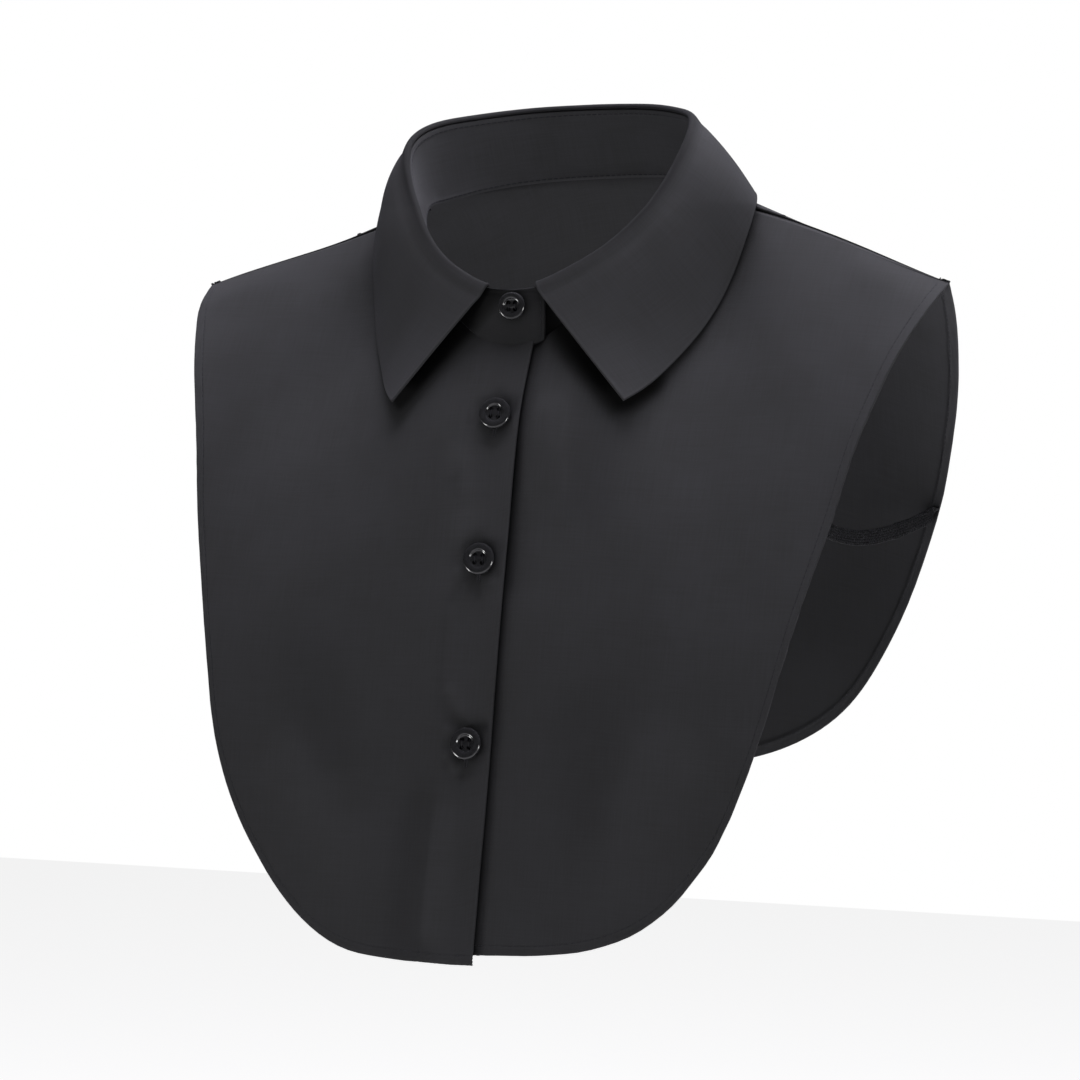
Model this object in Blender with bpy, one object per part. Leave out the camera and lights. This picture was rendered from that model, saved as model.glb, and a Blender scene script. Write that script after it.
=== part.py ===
"""Detachable shirt collar: two buttoned fronts, a back, a collar stand, a folded fall,
two elastic side straps and four sewn buttons, standing open as if worn.

World frame: +X is the wearer's left, -Y the front, +Z up; the origin is the middle of the
neck opening at the level of the shoulder seams' neck ends.  Sizes below are millimetres.
"""
import math

import bpy
import numpy as np

MM = 0.001

# ---- cloth and trim sizes -------------------------------------------------------------
CLOTH = 1.0            # wall of a single panel
TURNED = 1.3           # wall where the edge is turned under (facing and hems)
GAP = 0.3              # air left between neighbouring pieces
HEM = 4.5              # width of the narrow turned hem
FACING = 25.0          # width of the turned facing behind each front edge
OVERLAP = 10.0         # each front runs this far past the centre line
STAND_WALL = 1.4       # collar stand, two layers and interlining
FALL_WALL = 1.3        # collar fall, two layers and interlining
STAND_END = 15.0       # rounded stand end past the centre line
STAND_CORNER = 6.5     # radius of that rounded end
STAND_FOOT = 0.55      # the stand starts this far above the neck seam
STAND_TUCK = 20.0      # length over which the under end slips behind the upper one
TUCK_FROM = 2.0        # the slip begins this far past the upper end
FALL_START = 11.0      # fall begins this far from the centre line
UNDER_EASE = 14.0      # the left front rises to its own level over this width
SPARE = 0.15           # extra air under laps and buttons
ELASTIC_WIDE = 6.2
ELASTIC_THICK = 1.0
ELASTIC_SAG = 5.5
ELASTIC_LAP = 6.0      # sewn length of the elastic on each hem
ELASTIC_END = 0.8      # its ends stop this far inside the hem's edge
ELASTIC_CLEAR = 0.42   # extra air between the flat strap and the curved hem
ELASTIC_LOW = 0.4      # its lowest place, as a share of the way from front to back
ELASTIC_STEPS = (0.06, 0.2, 0.4, 0.65, 0.85, 0.95)   # shares of the way where its line is set
ELASTIC_FRONT = -131.5  # height of its front end
ELASTIC_BACK = -130.8   # height of its back end

# ---- unevenness of the worn collar ------------------------------------------------------
LEAN = 0.032           # the neck end of the shoulders sits higher on the wearer's left
LEAN_SIDE = 0.12       # and the top of the collar leans to the wearer's right
LEAN_SPAN = 80.0       # the lean fades out over this width before the shoulder tips
LEAN_FLOOR = 200.0     # it starts this far below the neck
LEAN_DEPTH = 120.0     # and is whole after this height
LEAN_CALM = 40.0       # it weakens over this height above the shoulders
LEAN_REST = 0.4        # down to this share
RIGHT_LONGER = 4.2     # the right front hangs this much lower at the centre
LONGER_FROM = 42.0     # and comes level from this place across
LONGER_OVER = 45.0     # over this width
LONGER_FORWARD = 0.2   # share of that length that goes forward

# ---- shoulder line --------------------------------------------------------------------
TIP_X = 168.8          # half the shoulder width
TIP_Z = -32.5
RIDGE_Y = 8.0          # shoulder seam lies this far behind the neck centre
RIDGE_SLOPE = 0.312
RIDGE_ROUND = 30.0
FLARE_END = 130.0      # the seam lifts a little on its last stretch to the neck
FLARE_SPAN = 66.0
FLARE_RISE = 3.0
RIDGE_BOW = 1.3        # the seam bows up between neck and tip
NECK_X = 63.5
SHOULDER_AT = 0.515    # place of the shoulder seam along the neck seam, front to back

# ---- rings of the neck: (across, back, up) from the centre front to the centre back ----
NECK_SEAM = (
    (0.0, -48.5, -57.5),
    (11.5, -47.5, -55.5),
    (21.0, -44.0, -50.0),
    (35.5, -36.5, -39.5),
    (48.0, -25.5, -25.0),
    (57.5, -11.5, -10.0),
    (63.5, 4.0, 2.8),
    (62.5, 19.0, 6.2),
    (53.5, 36.0, 10.3),
    (33.0, 51.5, 14.0),
    (0.0, 57.5, 15.1),
)
STAND_TOP = (
    (0.0, -48.5, -35.0),
    (11.0, -47.3, -34.0),
    (22.0, -44.5, -29.5),
    (36.5, -38.0, -20.5),
    (49.0, -29.0, -7.5),
    (58.8, -18.0, 9.0),
    (63.7, -5.0, 26.0),
    (59.6, 11.0, 34.4),
    (47.5, 28.5, 38.5),
    (28.0, 44.0, 41.5),
    (0.0, 49.5, 42.5),
)
FALL_EDGE = (
    (50.5, -56.0, -79.5),
    (58.0, -47.0, -75.5),
    (66.0, -36.0, -67.0),
    (74.0, -25.0, -54.5),
    (80.5, -14.5, -39.0),
    (85.5, -6.5, -20.0),
    (86.5, 5.0, -2.6),
    (80.0, 20.0, 2.5),
    (67.5, 36.0, 5.5),
    (42.0, 57.5, 7.5),
    (0.0, 67.5, 8.0),
)

# the fold over the stand's top: (out, up) from the top of the stand
FOLD = ((-1.4, 1.2), (-0.4, 1.25), (0.5, 1.15), (1.1, 0.8), (1.42, 0.25), (1.5, -1.2))
# swell of the fall between fold and edge, from its front end to the centre back
FALL_SWELL = ((0.0, 1.0), (0.2, 3.0), (0.4, 5.2), (0.52, 3.4), (0.65, 1.2), (0.8, 1.0), (1.0, 1.6))
SWELL_SKEW = 0.62      # the swell sits nearer the fold
FALL_CROWD = 1.15      # columns crowd toward the front ends

# ---- free edges: (across, back, up) ----------------------------------------------------
FRONT_EDGE = (
    (0.0, -108.0, -299.5),
    (25.0, -106.5, -299.0),
    (47.8, -103.0, -297.3),
    (67.3, -97.5, -292.3),
    (81.0, -93.0, -284.3),
    (96.4, -88.5, -267.5),
    (106.9, -86.5, -251.0),
    (113.8, -85.2, -235.0),
    (119.4, -82.9, -218.5),
    (124.7, -78.0, -197.6),
    (129.8, -72.1, -175.0),
    (136.2, -63.6, -149.4),
    (142.4, -54.6, -124.1),
    (147.2, -46.3, -100.3),
    (152.3, -38.0, -82.0),
    (157.1, -29.7, -66.1),
    (162.8, -17.3, -50.2),
    (165.8, -9.0, -42.4),
    (TIP_X, RIDGE_Y, TIP_Z),
)
BACK_EDGE = (
    (TIP_X, RIDGE_Y, TIP_Z),
    (166.8, 21.0, -43.0),
    (162.4, 39.0, -60.0),
    (157.9, 52.0, -80.0),
    (151.8, 61.0, -105.0),
    (147.5, 64.5, -122.0),
    (142.1, 66.0, -139.0),
    (135.8, 67.0, -156.3),
    (128.3, 68.0, -173.5),
    (118.8, 69.5, -190.6),
    (106.7, 71.5, -207.8),
    (96.5, 73.5, -217.5),
    (79.0, 77.5, -228.2),
    (58.0, 83.0, -236.0),
    (30.0, 89.0, -241.0),
    (0.0, 92.0, -242.5),
)

# ---- how far the fronts stand ahead of the shoulder seam --------------------------------
DEPTH_X = (0.0, 35.0, 60.0, 85.0, 100.0, 115.0, 145.0, 170.0)
DEPTH = (
    # drop     x=0    35     60     85     100    115    145    170
    (0.0, (0.0, 0.0, 0.0, 0.0, 0.0, 0.0, 0.0, 0.0)),
    (4.0, (11.7, 13.3, 8.9, 4.0, 4.4, 5.2, 8.3, 7.7)),
    (10.0, (20.5, 21.4, 15.2, 8.4, 9.0, 10.4, 14.3, 15.6)),
    (20.0, (33.1, 30.9, 21.9, 13.8, 15.8, 18.4, 22.5, 27.7)),
    (35.0, (45.2, 39.8, 28.5, 20.6, 24.5, 28.2, 33.1, 40.7)),
    (50.0, (48.0, 44.1, 34.2, 28.2, 32.6, 36.7, 42.2, 50.5)),
    (75.0, (57.5, 54.1, 45.6, 42.4, 45.2, 48.6, 54.3, 60.6)),
    (100.0, (69.3, 67.0, 59.4, 56.0, 57.4, 59.9, 63.8, 67.4)),
    (130.0, (77.5, 76.4, 72.8, 69.7, 70.3, 71.6, 73.8, 75.5)),
    (160.0, (83.7, 83.2, 81.8, 80.5, 80.6, 81.0, 82.7, 83.7)),
    (200.0, (91.9, 92.3, 90.8, 89.5, 89.5, 90.0, 90.5, 90.8)),
    (240.0, (99.5, 98.9, 97.2, 95.1, 95.1, 95.4, 95.7, 96.1)),
    (280.0, (107.9, 107.3, 104.6, 101.7, 101.0, 100.8, 100.2, 99.8)),
    (320.0, (116.9, 115.6, 112.9, 108.7, 107.2, 106.3, 104.7, 103.6)),
)
# bulge of the back over its straight rays, from the shoulder seam to the centre back
BACK_BULGE = ((0.0, 0.0), (0.1, 3.6), (0.3, 7.5), (0.55, 12.5), (0.8, 18.0), (1.0, 20.0))
BACK_LIFT = 70.0       # degrees the bulge leans upward at the shoulder
BACK_SKEW = 0.75       # bulge sits nearer the top

# ---- grid sizes --------------------------------------------------------------------------
FACING_RAYS = 6
FRONT_RAYS = 22
FRONT_ROWS = 17
BACK_RAYS = 17
BACK_ROWS = 15
RAY_CROWD = 1.25       # rays crowd toward the shoulder seam
EDGE_HOLD = 4          # how fast a panel leaves its seam and edge lines for its own form
STAND_COLS = 64
STAND_ROWS = 4
STAND_STEPS = (0.25, 0.7, 1.4, 2.4, 4.0)   # extra columns round the stand's ends
FALL_COLS = 52
FALL_ROWS = 7
ELASTIC_COLS = 22
PATH_STEPS = 400
RING_STEP = 0.001      # half step, as a share of a ring, for its direction
CENTRE_RAY = 2         # ray of a front that runs nearest its centre line

# ---- buttons -----------------------------------------------------------------------------
# (number, its middle across and up, width): each is sewn a little off the centre line
BUTTONS = ((1, 0.9, -41.7, 11.4), (2, -0.2, -85.6, 13.2), (3, -1.2, -143.8, 13.2), (4, -0.2, -217.2, 13.2))
# half section from the back to the dished face: (in from the rim, above the back)
BUTTON_SECTION = ((2.5, 0.0), (0.5, 0.35), (0.0, 1.1), (0.12, 1.9), (0.75, 2.6), (1.5, 2.25), (2.2, 1.7))
BUTTON_CENTRE = 1.45   # height of the middle of the dish
HOLE_RADIUS = 0.85
HOLE_OUT = 0.129       # holes sit this share of the width off the centre, both ways
DRILL = 10.0           # length of the hole cutter
BUTTON_SIDES = 32
HOLE_SIDES = 10
SLOPE_REACH = 3.0      # the cloth's slope under a button is taken this far up and down

BLACK = (0.018, 0.018, 0.021, 1.0)
PLASTIC = (0.010, 0.010, 0.012, 1.0)
ELASTIC_BLACK = (0.012, 0.012, 0.014, 1.0)
ROUGH_CLOTH = 0.85
ROUGH_BAND = 0.7
ROUGH_PLASTIC = 0.2


# ---- numbers -----------------------------------------------------------------------------
def spline(xs, ys, x):
    """Natural cubic spline through (xs, ys), read at x; ys may hold several columns."""
    xs = np.asarray(xs, float)
    ys = np.asarray(ys, float)
    n = len(xs)
    h = np.diff(xs)
    m = np.eye(n)
    rhs = np.zeros(ys.shape)
    slope = np.diff(ys, axis=0) / h.reshape((-1,) + (1,) * (ys.ndim - 1))
    for i in range(1, n - 1):
        m[i, i - 1] = h[i - 1]
        m[i, i] = 2 * (h[i - 1] + h[i])
        m[i, i + 1] = h[i]
        rhs[i] = 6 * (slope[i] - slope[i - 1])
    second = np.linalg.solve(m, rhs)
    x = np.clip(np.asarray(x, float), xs[0], xs[-1])
    k = np.clip(np.searchsorted(xs, x) - 1, 0, n - 2)
    a = (xs[k + 1] - x) / h[k]
    b = (x - xs[k]) / h[k]
    w = h[k] ** 2 / 6
    if ys.ndim > 1:
        a, b, w = a[..., None], b[..., None], w[..., None]
    return a * ys[k] + b * ys[k + 1] + ((a ** 3 - a) * second[k] + (b ** 3 - b) * second[k + 1]) * w


class Path:
    """A smooth 3-D line through a short table, read by its length from the start."""

    def __init__(self, rows):
        rows = np.asarray(rows, float)
        knot = np.concatenate([[0.0], np.cumsum(np.linalg.norm(np.diff(rows, axis=0), axis=1))])
        fine = spline(knot, rows, np.linspace(0.0, knot[-1], PATH_STEPS))
        step = np.linalg.norm(np.diff(fine, axis=0), axis=1)
        self.at = np.concatenate([[0.0], np.cumsum(step)])
        self.fine = fine
        self.long = self.at[-1]

    def read(self, s):
        """Point at length s; a negative s gives the mirrored point across the centre."""
        s = np.asarray(s, float)
        side = np.where(s < 0, -1.0, 1.0)
        p = np.stack([np.interp(abs(s), self.at, self.fine[:, k]) for k in range(3)], -1)
        p[..., 0] *= side
        return p


def unit(v):
    """Vectors scaled to length one."""
    return v / np.maximum(np.linalg.norm(v, axis=-1, keepdims=True), 1e-9)


def ease(x):
    """Smooth step from 0 to 1."""
    x = np.clip(x, 0.0, 1.0)
    return x * x * (3 - 2 * x)


def ridge_bow(x):
    """Upward bow of the shoulder seam between neck and tip."""
    return RIDGE_BOW * np.sin(math.pi * np.clip((abs(x) - NECK_X) / (TIP_X - NECK_X), 0.0, 1.0))


def ridge_height(x):
    """Height of the shoulder line, drawn on to the centre."""
    x = abs(x)
    x = np.where(x < RIDGE_ROUND, x * x / (2 * RIDGE_ROUND) + RIDGE_ROUND / 2, x)
    flare = FLARE_RISE * np.clip((FLARE_END - x) / FLARE_SPAN, 0.0, 1.0) ** 2
    return TIP_Z + RIDGE_SLOPE * (TIP_X - x) + flare + ridge_bow(x)


def front_y(x, z):
    """Back-to-front place of the fronts' outer face at a point of the front view."""
    x = np.clip(abs(x), 0.0, DEPTH_X[-1])
    drop = np.clip(ridge_height(x) - z, 0.0, DEPTH[-1][0])
    root = np.sqrt([row[0] for row in DEPTH])
    rows = spline(root, np.array([row[1] for row in DEPTH]), np.sqrt(drop))
    flat = rows.reshape(-1, len(DEPTH_X))
    place = np.broadcast_to(x, drop.shape).reshape(-1)
    got = np.array([spline(DEPTH_X, r, p) for r, p in zip(flat, place)])
    return RIDGE_Y - got.reshape(drop.shape)


def leaning(p):
    """The small unevenness of the neck against the shoulders."""
    p = np.array(p, float)
    near = ease((TIP_X - abs(p[..., 0])) / LEAN_SPAN)
    high = ease((p[..., 2] + LEAN_FLOOR) / LEAN_DEPTH)
    high = high * (1 - (1 - LEAN_REST) * ease(p[..., 2] / LEAN_CALM))
    p[..., 2] += LEAN * p[..., 0] * near * high
    p[..., 0] -= LEAN_SIDE * np.maximum(p[..., 2], 0.0) * near
    return p


def grid_normals(p):
    """Outward unit normals of a grid of points (rows by columns)."""
    du = np.gradient(p, axis=0)
    dv = np.gradient(p, axis=1)
    return unit(np.cross(du, dv))


# ---- meshes ------------------------------------------------------------------------------
def make_object(name, verts, faces, material):
    """One mesh object from millimetre points, with its material."""
    mesh = bpy.data.meshes.new(name)
    mesh.from_pydata([tuple(v) for v in np.asarray(verts) * MM], [], faces)
    mesh.update()
    mesh.materials.append(material)
    obj = bpy.data.objects.new(name, mesh)
    bpy.context.scene.collection.objects.link(obj)
    return obj


def closed_shell(name, outer, inner, material):
    """A closed wall between two equal grids of points."""
    rows, cols = outer.shape[:2]
    count = rows * cols
    verts = np.concatenate([outer.reshape(-1, 3), inner.reshape(-1, 3)])
    faces = []
    for i in range(rows - 1):
        for j in range(cols - 1):
            a, b = i * cols + j, (i + 1) * cols + j
            c, d = b + 1, a + 1
            faces.append((a, b, c, d))
            faces.append((d + count, c + count, b + count, a + count))
    rim = [(0, j) for j in range(cols - 1)] + [(i, cols - 1) for i in range(rows - 1)]
    rim += [(rows - 1, j) for j in range(cols - 1, 0, -1)] + [(i, 0) for i in range(rows - 1, 0, -1)]
    loop = [i * cols + j for i, j in rim]
    for a, b in zip(loop, loop[1:] + loop[:1]):
        faces.append((a, b, b + count, a + count))
    return make_object(name, verts, faces, material)


def make_material(name, colour, rough, metallic=0.0):
    """A plain Principled material of its own."""
    mat = bpy.data.materials.new(name)
    mat.use_nodes = True
    node = mat.node_tree.nodes["Principled BSDF"]
    node.inputs["Base Color"].default_value = colour
    node.inputs["Roughness"].default_value = rough
    node.inputs["Metallic"].default_value = metallic
    mat.diffuse_color = colour
    return mat


# ---- the pieces --------------------------------------------------------------------------
def front_grid(longer=0.0):
    """Outer face of one front in its own side's view, past the centre line to the shoulder."""
    neck = Path(NECK_SEAM)
    edge = Path(FRONT_EDGE)
    near = np.linspace(-OVERLAP, FACING - OVERLAP, FACING_RAYS)
    even = np.linspace(0.0, 1.0, FRONT_RAYS)[1:]
    top = np.concatenate([near, near[-1] + even * (neck.long * SHOULDER_AT - near[-1])])
    far = 1 - (1 - even) ** RAY_CROWD
    low = np.concatenate([near, near[-1] + far * (edge.long - near[-1])])
    n, o = neck.read(top), edge.read(low)
    more = longer * (1 - ease((o[:, 0] - LONGER_FROM) / LONGER_OVER))
    o[:, 1] -= more * LONGER_FORWARD
    o[:, 2] -= more
    long = np.linalg.norm(o - n, axis=1)
    last = 1 - HEM / long
    r = np.stack([np.append(np.linspace(0.0, s, FRONT_ROWS - 1), 1.0) for s in last])[..., None]
    p = n[:, None] * (1 - r) + o[:, None] * r
    y = front_y(p[..., 0], p[..., 2])
    start, stop = n[:, 1] - y[:, 0], o[:, 1] - y[:, -1]
    r = r[..., 0]
    p[..., 1] = y + start[:, None] * (1 - r) ** EDGE_HOLD + stop[:, None] * r ** EDGE_HOLD
    p[..., 1] = np.minimum(p[..., 1], RIDGE_Y - GAP / 2)
    p[-1, :, 1] = RIDGE_Y - GAP / 2
    p[-1, :, 2] = ridge_height(p[-1, :, 0])
    return p


def front_faces(side):
    """Outer and inner face of one front, both in the wearer's left view, without the lean."""
    p = front_grid(0.0 if side > 0 else RIGHT_LONGER)
    n = grid_normals(p)
    n = np.where(n[..., 1:2] > 0, -n, n)
    n[-1, :, 1] = 0.0
    n = unit(n)
    n[-1] *= np.where(n[-1, :, 2:3] < 0, -1.0, 1.0)
    if side > 0:
        under = 1 - ease((p[..., 0] - OVERLAP - 1.0) / UNDER_EASE)
        p = p - n * ((TURNED + GAP + SPARE) * under)[..., None]
    wall = np.full(p.shape[:2], CLOTH)
    wall[:FACING_RAYS] = TURNED
    wall[:, -2:] = TURNED
    inner = p - n * wall[..., None]
    inner[..., 1] = np.minimum(inner[..., 1], RIDGE_Y - GAP / 2)
    return p, inner


def front_panel(name, side, material):
    """One front: side is +1 for the wearer's left (under) and -1 for the right (on top)."""
    p, inner = front_faces(side)
    flip = np.array([side, 1.0, 1.0])
    outer, inner = leaning(p * flip), leaning(inner * flip)
    if side > 0:
        outer, inner = outer[::-1], inner[::-1]
    return closed_shell(name, outer, inner, material)


def back_faces():
    """Outer and inner face of the whole back, seam to seam, without the lean."""
    neck, edge = Path(NECK_SEAM), Path(BACK_EDGE)
    f = np.linspace(0.0, 1.0, BACK_RAYS)
    start = neck.long * SHOULDER_AT
    n = neck.read(start + f * (neck.long - start))
    f = f ** RAY_CROWD
    o = edge.read(f * edge.long)
    long = np.linalg.norm(o - n, axis=1)
    r = np.stack([np.append(np.linspace(0.0, 1 - HEM / s, BACK_ROWS - 1), 1.0) for s in long])[..., None]
    lift = np.radians(BACK_LIFT) * (1 - f)
    way = np.stack([np.zeros_like(f), np.cos(lift), np.sin(lift)], -1)
    rise = spline([b[0] for b in BACK_BULGE], [b[1] for b in BACK_BULGE], f)
    p = n[:, None] * (1 - r) + o[:, None] * r
    p = p + way[:, None] * (rise[:, None] * np.sin(math.pi * r[..., 0] ** BACK_SKEW))[..., None]
    p[..., 2] += ridge_bow(p[..., 0]) * ((1 - f) ** EDGE_HOLD)[:, None]
    p[..., 1] = np.maximum(p[..., 1], RIDGE_Y + GAP / 2)
    p[0, :, 1] = RIDGE_Y + GAP / 2
    p[0, :, 2] = ridge_height(p[0, :, 0])
    p[-1, :, 0] = 0.0
    mirror = p[:-1][::-1] * np.array([-1.0, 1.0, 1.0])
    p = np.concatenate([p, mirror])
    nrm = grid_normals(p)
    nrm = np.where((nrm[..., 1:2] + nrm[..., 2:3]) < 0, -nrm, nrm)
    for k in (0, -1):
        nrm[k, :, 1] = 0.0
    nrm = unit(nrm)
    wall = np.full(p.shape[:2], CLOTH)
    wall[:, -2:] = TURNED
    inner = p - nrm * wall[..., None]
    inner[..., 1] = np.maximum(inner[..., 1], RIDGE_Y + GAP / 2)
    return p, inner


def back_panel(name, material):
    """The whole back from one shoulder seam round the centre to the other."""
    p, inner = back_faces()
    return closed_shell(name, leaning(p)[::-1], leaning(inner)[::-1], material)


def ring_frames(across):
    """Frames of the collar at signed shares of its half length from the centre front.

    Gives the neck seam, the stand's top, the way up the stand, the way out of the ring and
    the way up square to the ring.
    """
    seam, top = Path(NECK_SEAM), Path(STAND_TOP)
    share = np.asarray(across, float)
    low = seam.read(share * seam.long)
    high = top.read(share * top.long)
    ahead = top.read(np.clip(share + RING_STEP, -1, 1) * top.long)
    behind = top.read(np.clip(share - RING_STEP, -1, 1) * top.long)
    run = unit(ahead - behind)
    up = unit(high - low)
    out = unit(np.cross(run, up))
    away = out[:, :1] * high[:, :1] + out[:, 1:2] * high[:, 1:2]
    out = np.where(away < 0, -out, out)
    square = unit(up - run * np.sum(run * up, axis=1, keepdims=True))
    return low, high, up, out, square


def collar_stand(name, material):
    """The standing band: its right end laps over its left end at the centre front."""
    seam = Path(NECK_SEAM)
    total = 2 * seam.long
    s = np.linspace(-STAND_END, total + STAND_END, STAND_COLS + 1)
    ends = np.array(STAND_STEPS)
    s = np.unique(np.concatenate([s, -STAND_END + ends, total + STAND_END - ends]))
    wrapped = np.where(s > seam.long, s - total, s)
    low, high, up, out, _ = ring_frames(wrapped / seam.long)
    tuck = 1 - ease((s - STAND_END - TUCK_FROM) / STAND_TUCK)
    inset = tuck * (STAND_WALL + GAP + SPARE / 2)
    from_end = np.minimum(s + STAND_END, total + STAND_END - s)
    short = np.clip(STAND_CORNER - from_end, 0.0, STAND_CORNER)
    cut = STAND_CORNER - np.sqrt(np.maximum(STAND_CORNER ** 2 - short ** 2, 0.0))
    tall = np.linalg.norm(high - low, axis=1)
    v = np.linspace(0.0, 1.0, STAND_ROWS)
    climb = STAND_FOOT + v[None] * (tall - cut - STAND_FOOT)[:, None]
    mid = low[:, None] + up[:, None] * climb[..., None]
    outer = mid - out[:, None] * inset[:, None, None]
    inner = outer - out[:, None] * STAND_WALL
    return closed_shell(name, leaning(outer), leaning(inner), material)


def collar_fall(name, material):
    """The fall: over the top of the stand and down to its pointed lower edge."""
    top, edge = Path(STAND_TOP), Path(FALL_EDGE)
    g = np.linspace(0.0, 1.0, FALL_COLS // 2 + 1) ** FALL_CROWD
    along = FALL_START + g * (top.long - FALL_START)
    _, high, _, out, up = ring_frames(along / top.long)
    low = edge.read(g * edge.long)
    rows = [high + out * a + up * b for a, b in FOLD]
    from_fold = rows[-1]
    swell = spline([b[0] for b in FALL_SWELL], [b[1] for b in FALL_SWELL], g)[:, None]
    for v in np.linspace(0.0, 1.0, FALL_ROWS + 1)[1:]:
        rows.append(from_fold * (1 - v) + low * v + out * (swell * math.sin(math.pi * v ** SWELL_SKEW)))
    p = np.stack(rows, 1)
    p[-1, :, 0] = 0.0
    p = np.concatenate([p, p[:-1][::-1] * np.array([-1.0, 1.0, 1.0])])
    n = grid_normals(p)
    side = np.sum(n[:, -2] * (p[:, -2] * np.array([1.0, 1.0, 0.0]) + np.array([0.0, 0.0, NECK_X])), axis=1)
    n = np.where((side < 0)[:, None, None], -n, n)
    half = FALL_WALL / 2
    return closed_shell(name, leaning(p + n * half)[::-1], leaning(p - n * half)[::-1], material)


def hem_place(outer, inner, height):
    """Edge point, way out across the hem and way out of the cloth where a hem's edge has a height."""
    z = outer[:, -1, 2]
    order = np.argsort(z)

    def at(values):
        return np.array([np.interp(height, z[order], values[order, k]) for k in range(3)])

    edge, across, face = at(outer[:, -1]), at(outer[:, -1] - outer[:, -2]), at(outer[:, -1] - inner[:, -1])
    return edge, unit(across), unit(face)


def elastic_strap(name, side, material):
    """A narrow strap that lies on the insides of the front and back hems at one armhole."""
    outer, inner = front_faces(1.0)
    wide = slice(FACING_RAYS + 1, None)
    front = hem_place(outer[wide], inner[wide], ELASTIC_FRONT)
    outer, inner = back_faces()
    half = slice(None, BACK_RAYS)
    back = hem_place(outer[half], inner[half], ELASTIC_BACK)
    sunk = TURNED + GAP + ELASTIC_THICK / 2 + ELASTIC_CLEAR
    upright = np.array([0.0, 0.0, 1.0])
    rows, ups = [], []
    for edge, across, face in (front, back):
        along = unit(np.cross(face, across))
        along = along * np.sign(along[2])
        rows.append([edge - across * d - face * sunk for d in (ELASTIC_LAP, ELASTIC_END)])
        ups.append([along, along])
    start, stop = rows[0][1], rows[1][1]
    free = []
    for q in ELASTIC_STEPS:
        from_low = (q - ELASTIC_LOW) / (ELASTIC_LOW if q < ELASTIC_LOW else 1 - ELASTIC_LOW)
        free.append(start * (1 - q) + stop * q - upright * ELASTIC_SAG * (1 - from_low ** 2))
    knots = np.array(rows[0] + free + rows[1][::-1])
    turns = np.array(ups[0] + [upright] * len(free) + ups[1])
    line = Path(knots)
    reach = np.concatenate([[0.0], np.cumsum(np.linalg.norm(np.diff(knots, axis=0), axis=1))])
    at = np.linspace(0.0, 1.0, ELASTIC_COLS + 1)
    mid = line.read(at * line.long)
    run = unit(np.gradient(mid, axis=0))
    up = np.stack([np.interp(at, reach / reach[-1], turns[:, k]) for k in range(3)], -1)
    up = unit(up - run * np.sum(run * up, axis=1, keepdims=True)) * ELASTIC_WIDE / 2
    out = unit(np.cross(run, up)) * ELASTIC_THICK / 2
    flip = np.array([side, 1.0, 1.0])
    outer = leaning(np.stack([mid + out - up, mid + out + up], 1) * flip)
    inner = leaning(np.stack([mid - out - up, mid - out + up], 1) * flip)
    if side < 0:
        outer, inner = outer[::-1], inner[::-1]
    return closed_shell(name, outer, inner, material)


def button(name, across, height, wide, material):
    """A four-hole button with a raised rim and a dished middle, by the centre line."""
    turn = np.linspace(0.0, 2 * math.pi, BUTTON_SIDES + 1)[:-1]
    verts, faces = [(0.0, 0.0, 0.0)], []
    for inset, high in BUTTON_SECTION:
        r = wide / 2 - inset
        verts += [(r * math.cos(a), r * math.sin(a), high) for a in turn]
    verts.append((0.0, 0.0, BUTTON_CENTRE))
    rings = len(BUTTON_SECTION)
    for k in range(BUTTON_SIDES):
        q = (k + 1) % BUTTON_SIDES
        faces.append((0, 1 + q, 1 + k))
        for i in range(rings - 1):
            a, b = 1 + i * BUTTON_SIDES, 1 + (i + 1) * BUTTON_SIDES
            faces.append((a + k, a + q, b + q, b + k))
        a = 1 + (rings - 1) * BUTTON_SIDES
        faces.append((a + k, a + q, len(verts) - 1))
    obj = make_object(name, verts, faces, material)
    off = HOLE_OUT * wide * MM
    for side, up in ((-off, -off), (-off, off), (off, -off), (off, off)):
        drill_hole(obj, side, up)
    seat, face = button_seat(height)
    seat[0] = across
    down = unit(np.cross(face, np.array([1.0, 0.0, 0.0])))
    right = np.cross(down, face)
    co = np.array([v.co for v in obj.data.vertices])
    co = co[:, :1] * right + co[:, 1:2] * down + co[:, 2:] * face + seat * MM
    obj.data.vertices.foreach_set("co", co.reshape(-1))
    obj.data.update()
    return obj


def drill_hole(obj, across, up):
    """One round hole through a button that still lies flat at the origin (metres)."""
    bpy.ops.mesh.primitive_cylinder_add(
        vertices=HOLE_SIDES, radius=HOLE_RADIUS * MM, depth=DRILL * MM, location=(across, up, 0.0))
    drill = bpy.context.object
    cut = obj.modifiers.new("hole", "BOOLEAN")
    cut.operation = "DIFFERENCE"
    cut.solver = "EXACT"
    cut.object = drill
    bpy.ops.object.select_all(action="DESELECT")
    obj.select_set(True)
    bpy.context.view_layer.objects.active = obj
    bpy.ops.object.modifier_apply(modifier=cut.name)
    bpy.data.objects.remove(drill, do_unlink=True)


def button_seat(height):
    """Foot point and outward direction of a button on the centre line."""
    seam, top = NECK_SEAM[0], STAND_TOP[0]
    slope = 0.0
    if height > seam[2]:
        y = np.interp(height, (seam[2], top[2]), (seam[1], top[1]))
    else:
        line = front_grid(RIGHT_LONGER)[CENTRE_RAY]
        reach = height + np.array([SLOPE_REACH, 0.0, -SLOPE_REACH])
        above, y, below = np.interp(-reach, -line[:, 2], line[:, 1])
        slope = (above - below) / (2 * SLOPE_REACH)
    face = unit(np.array([0.0, -1.0, slope]))
    return np.array([0.0, y, height]) + face * (GAP + SPARE), face


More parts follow.
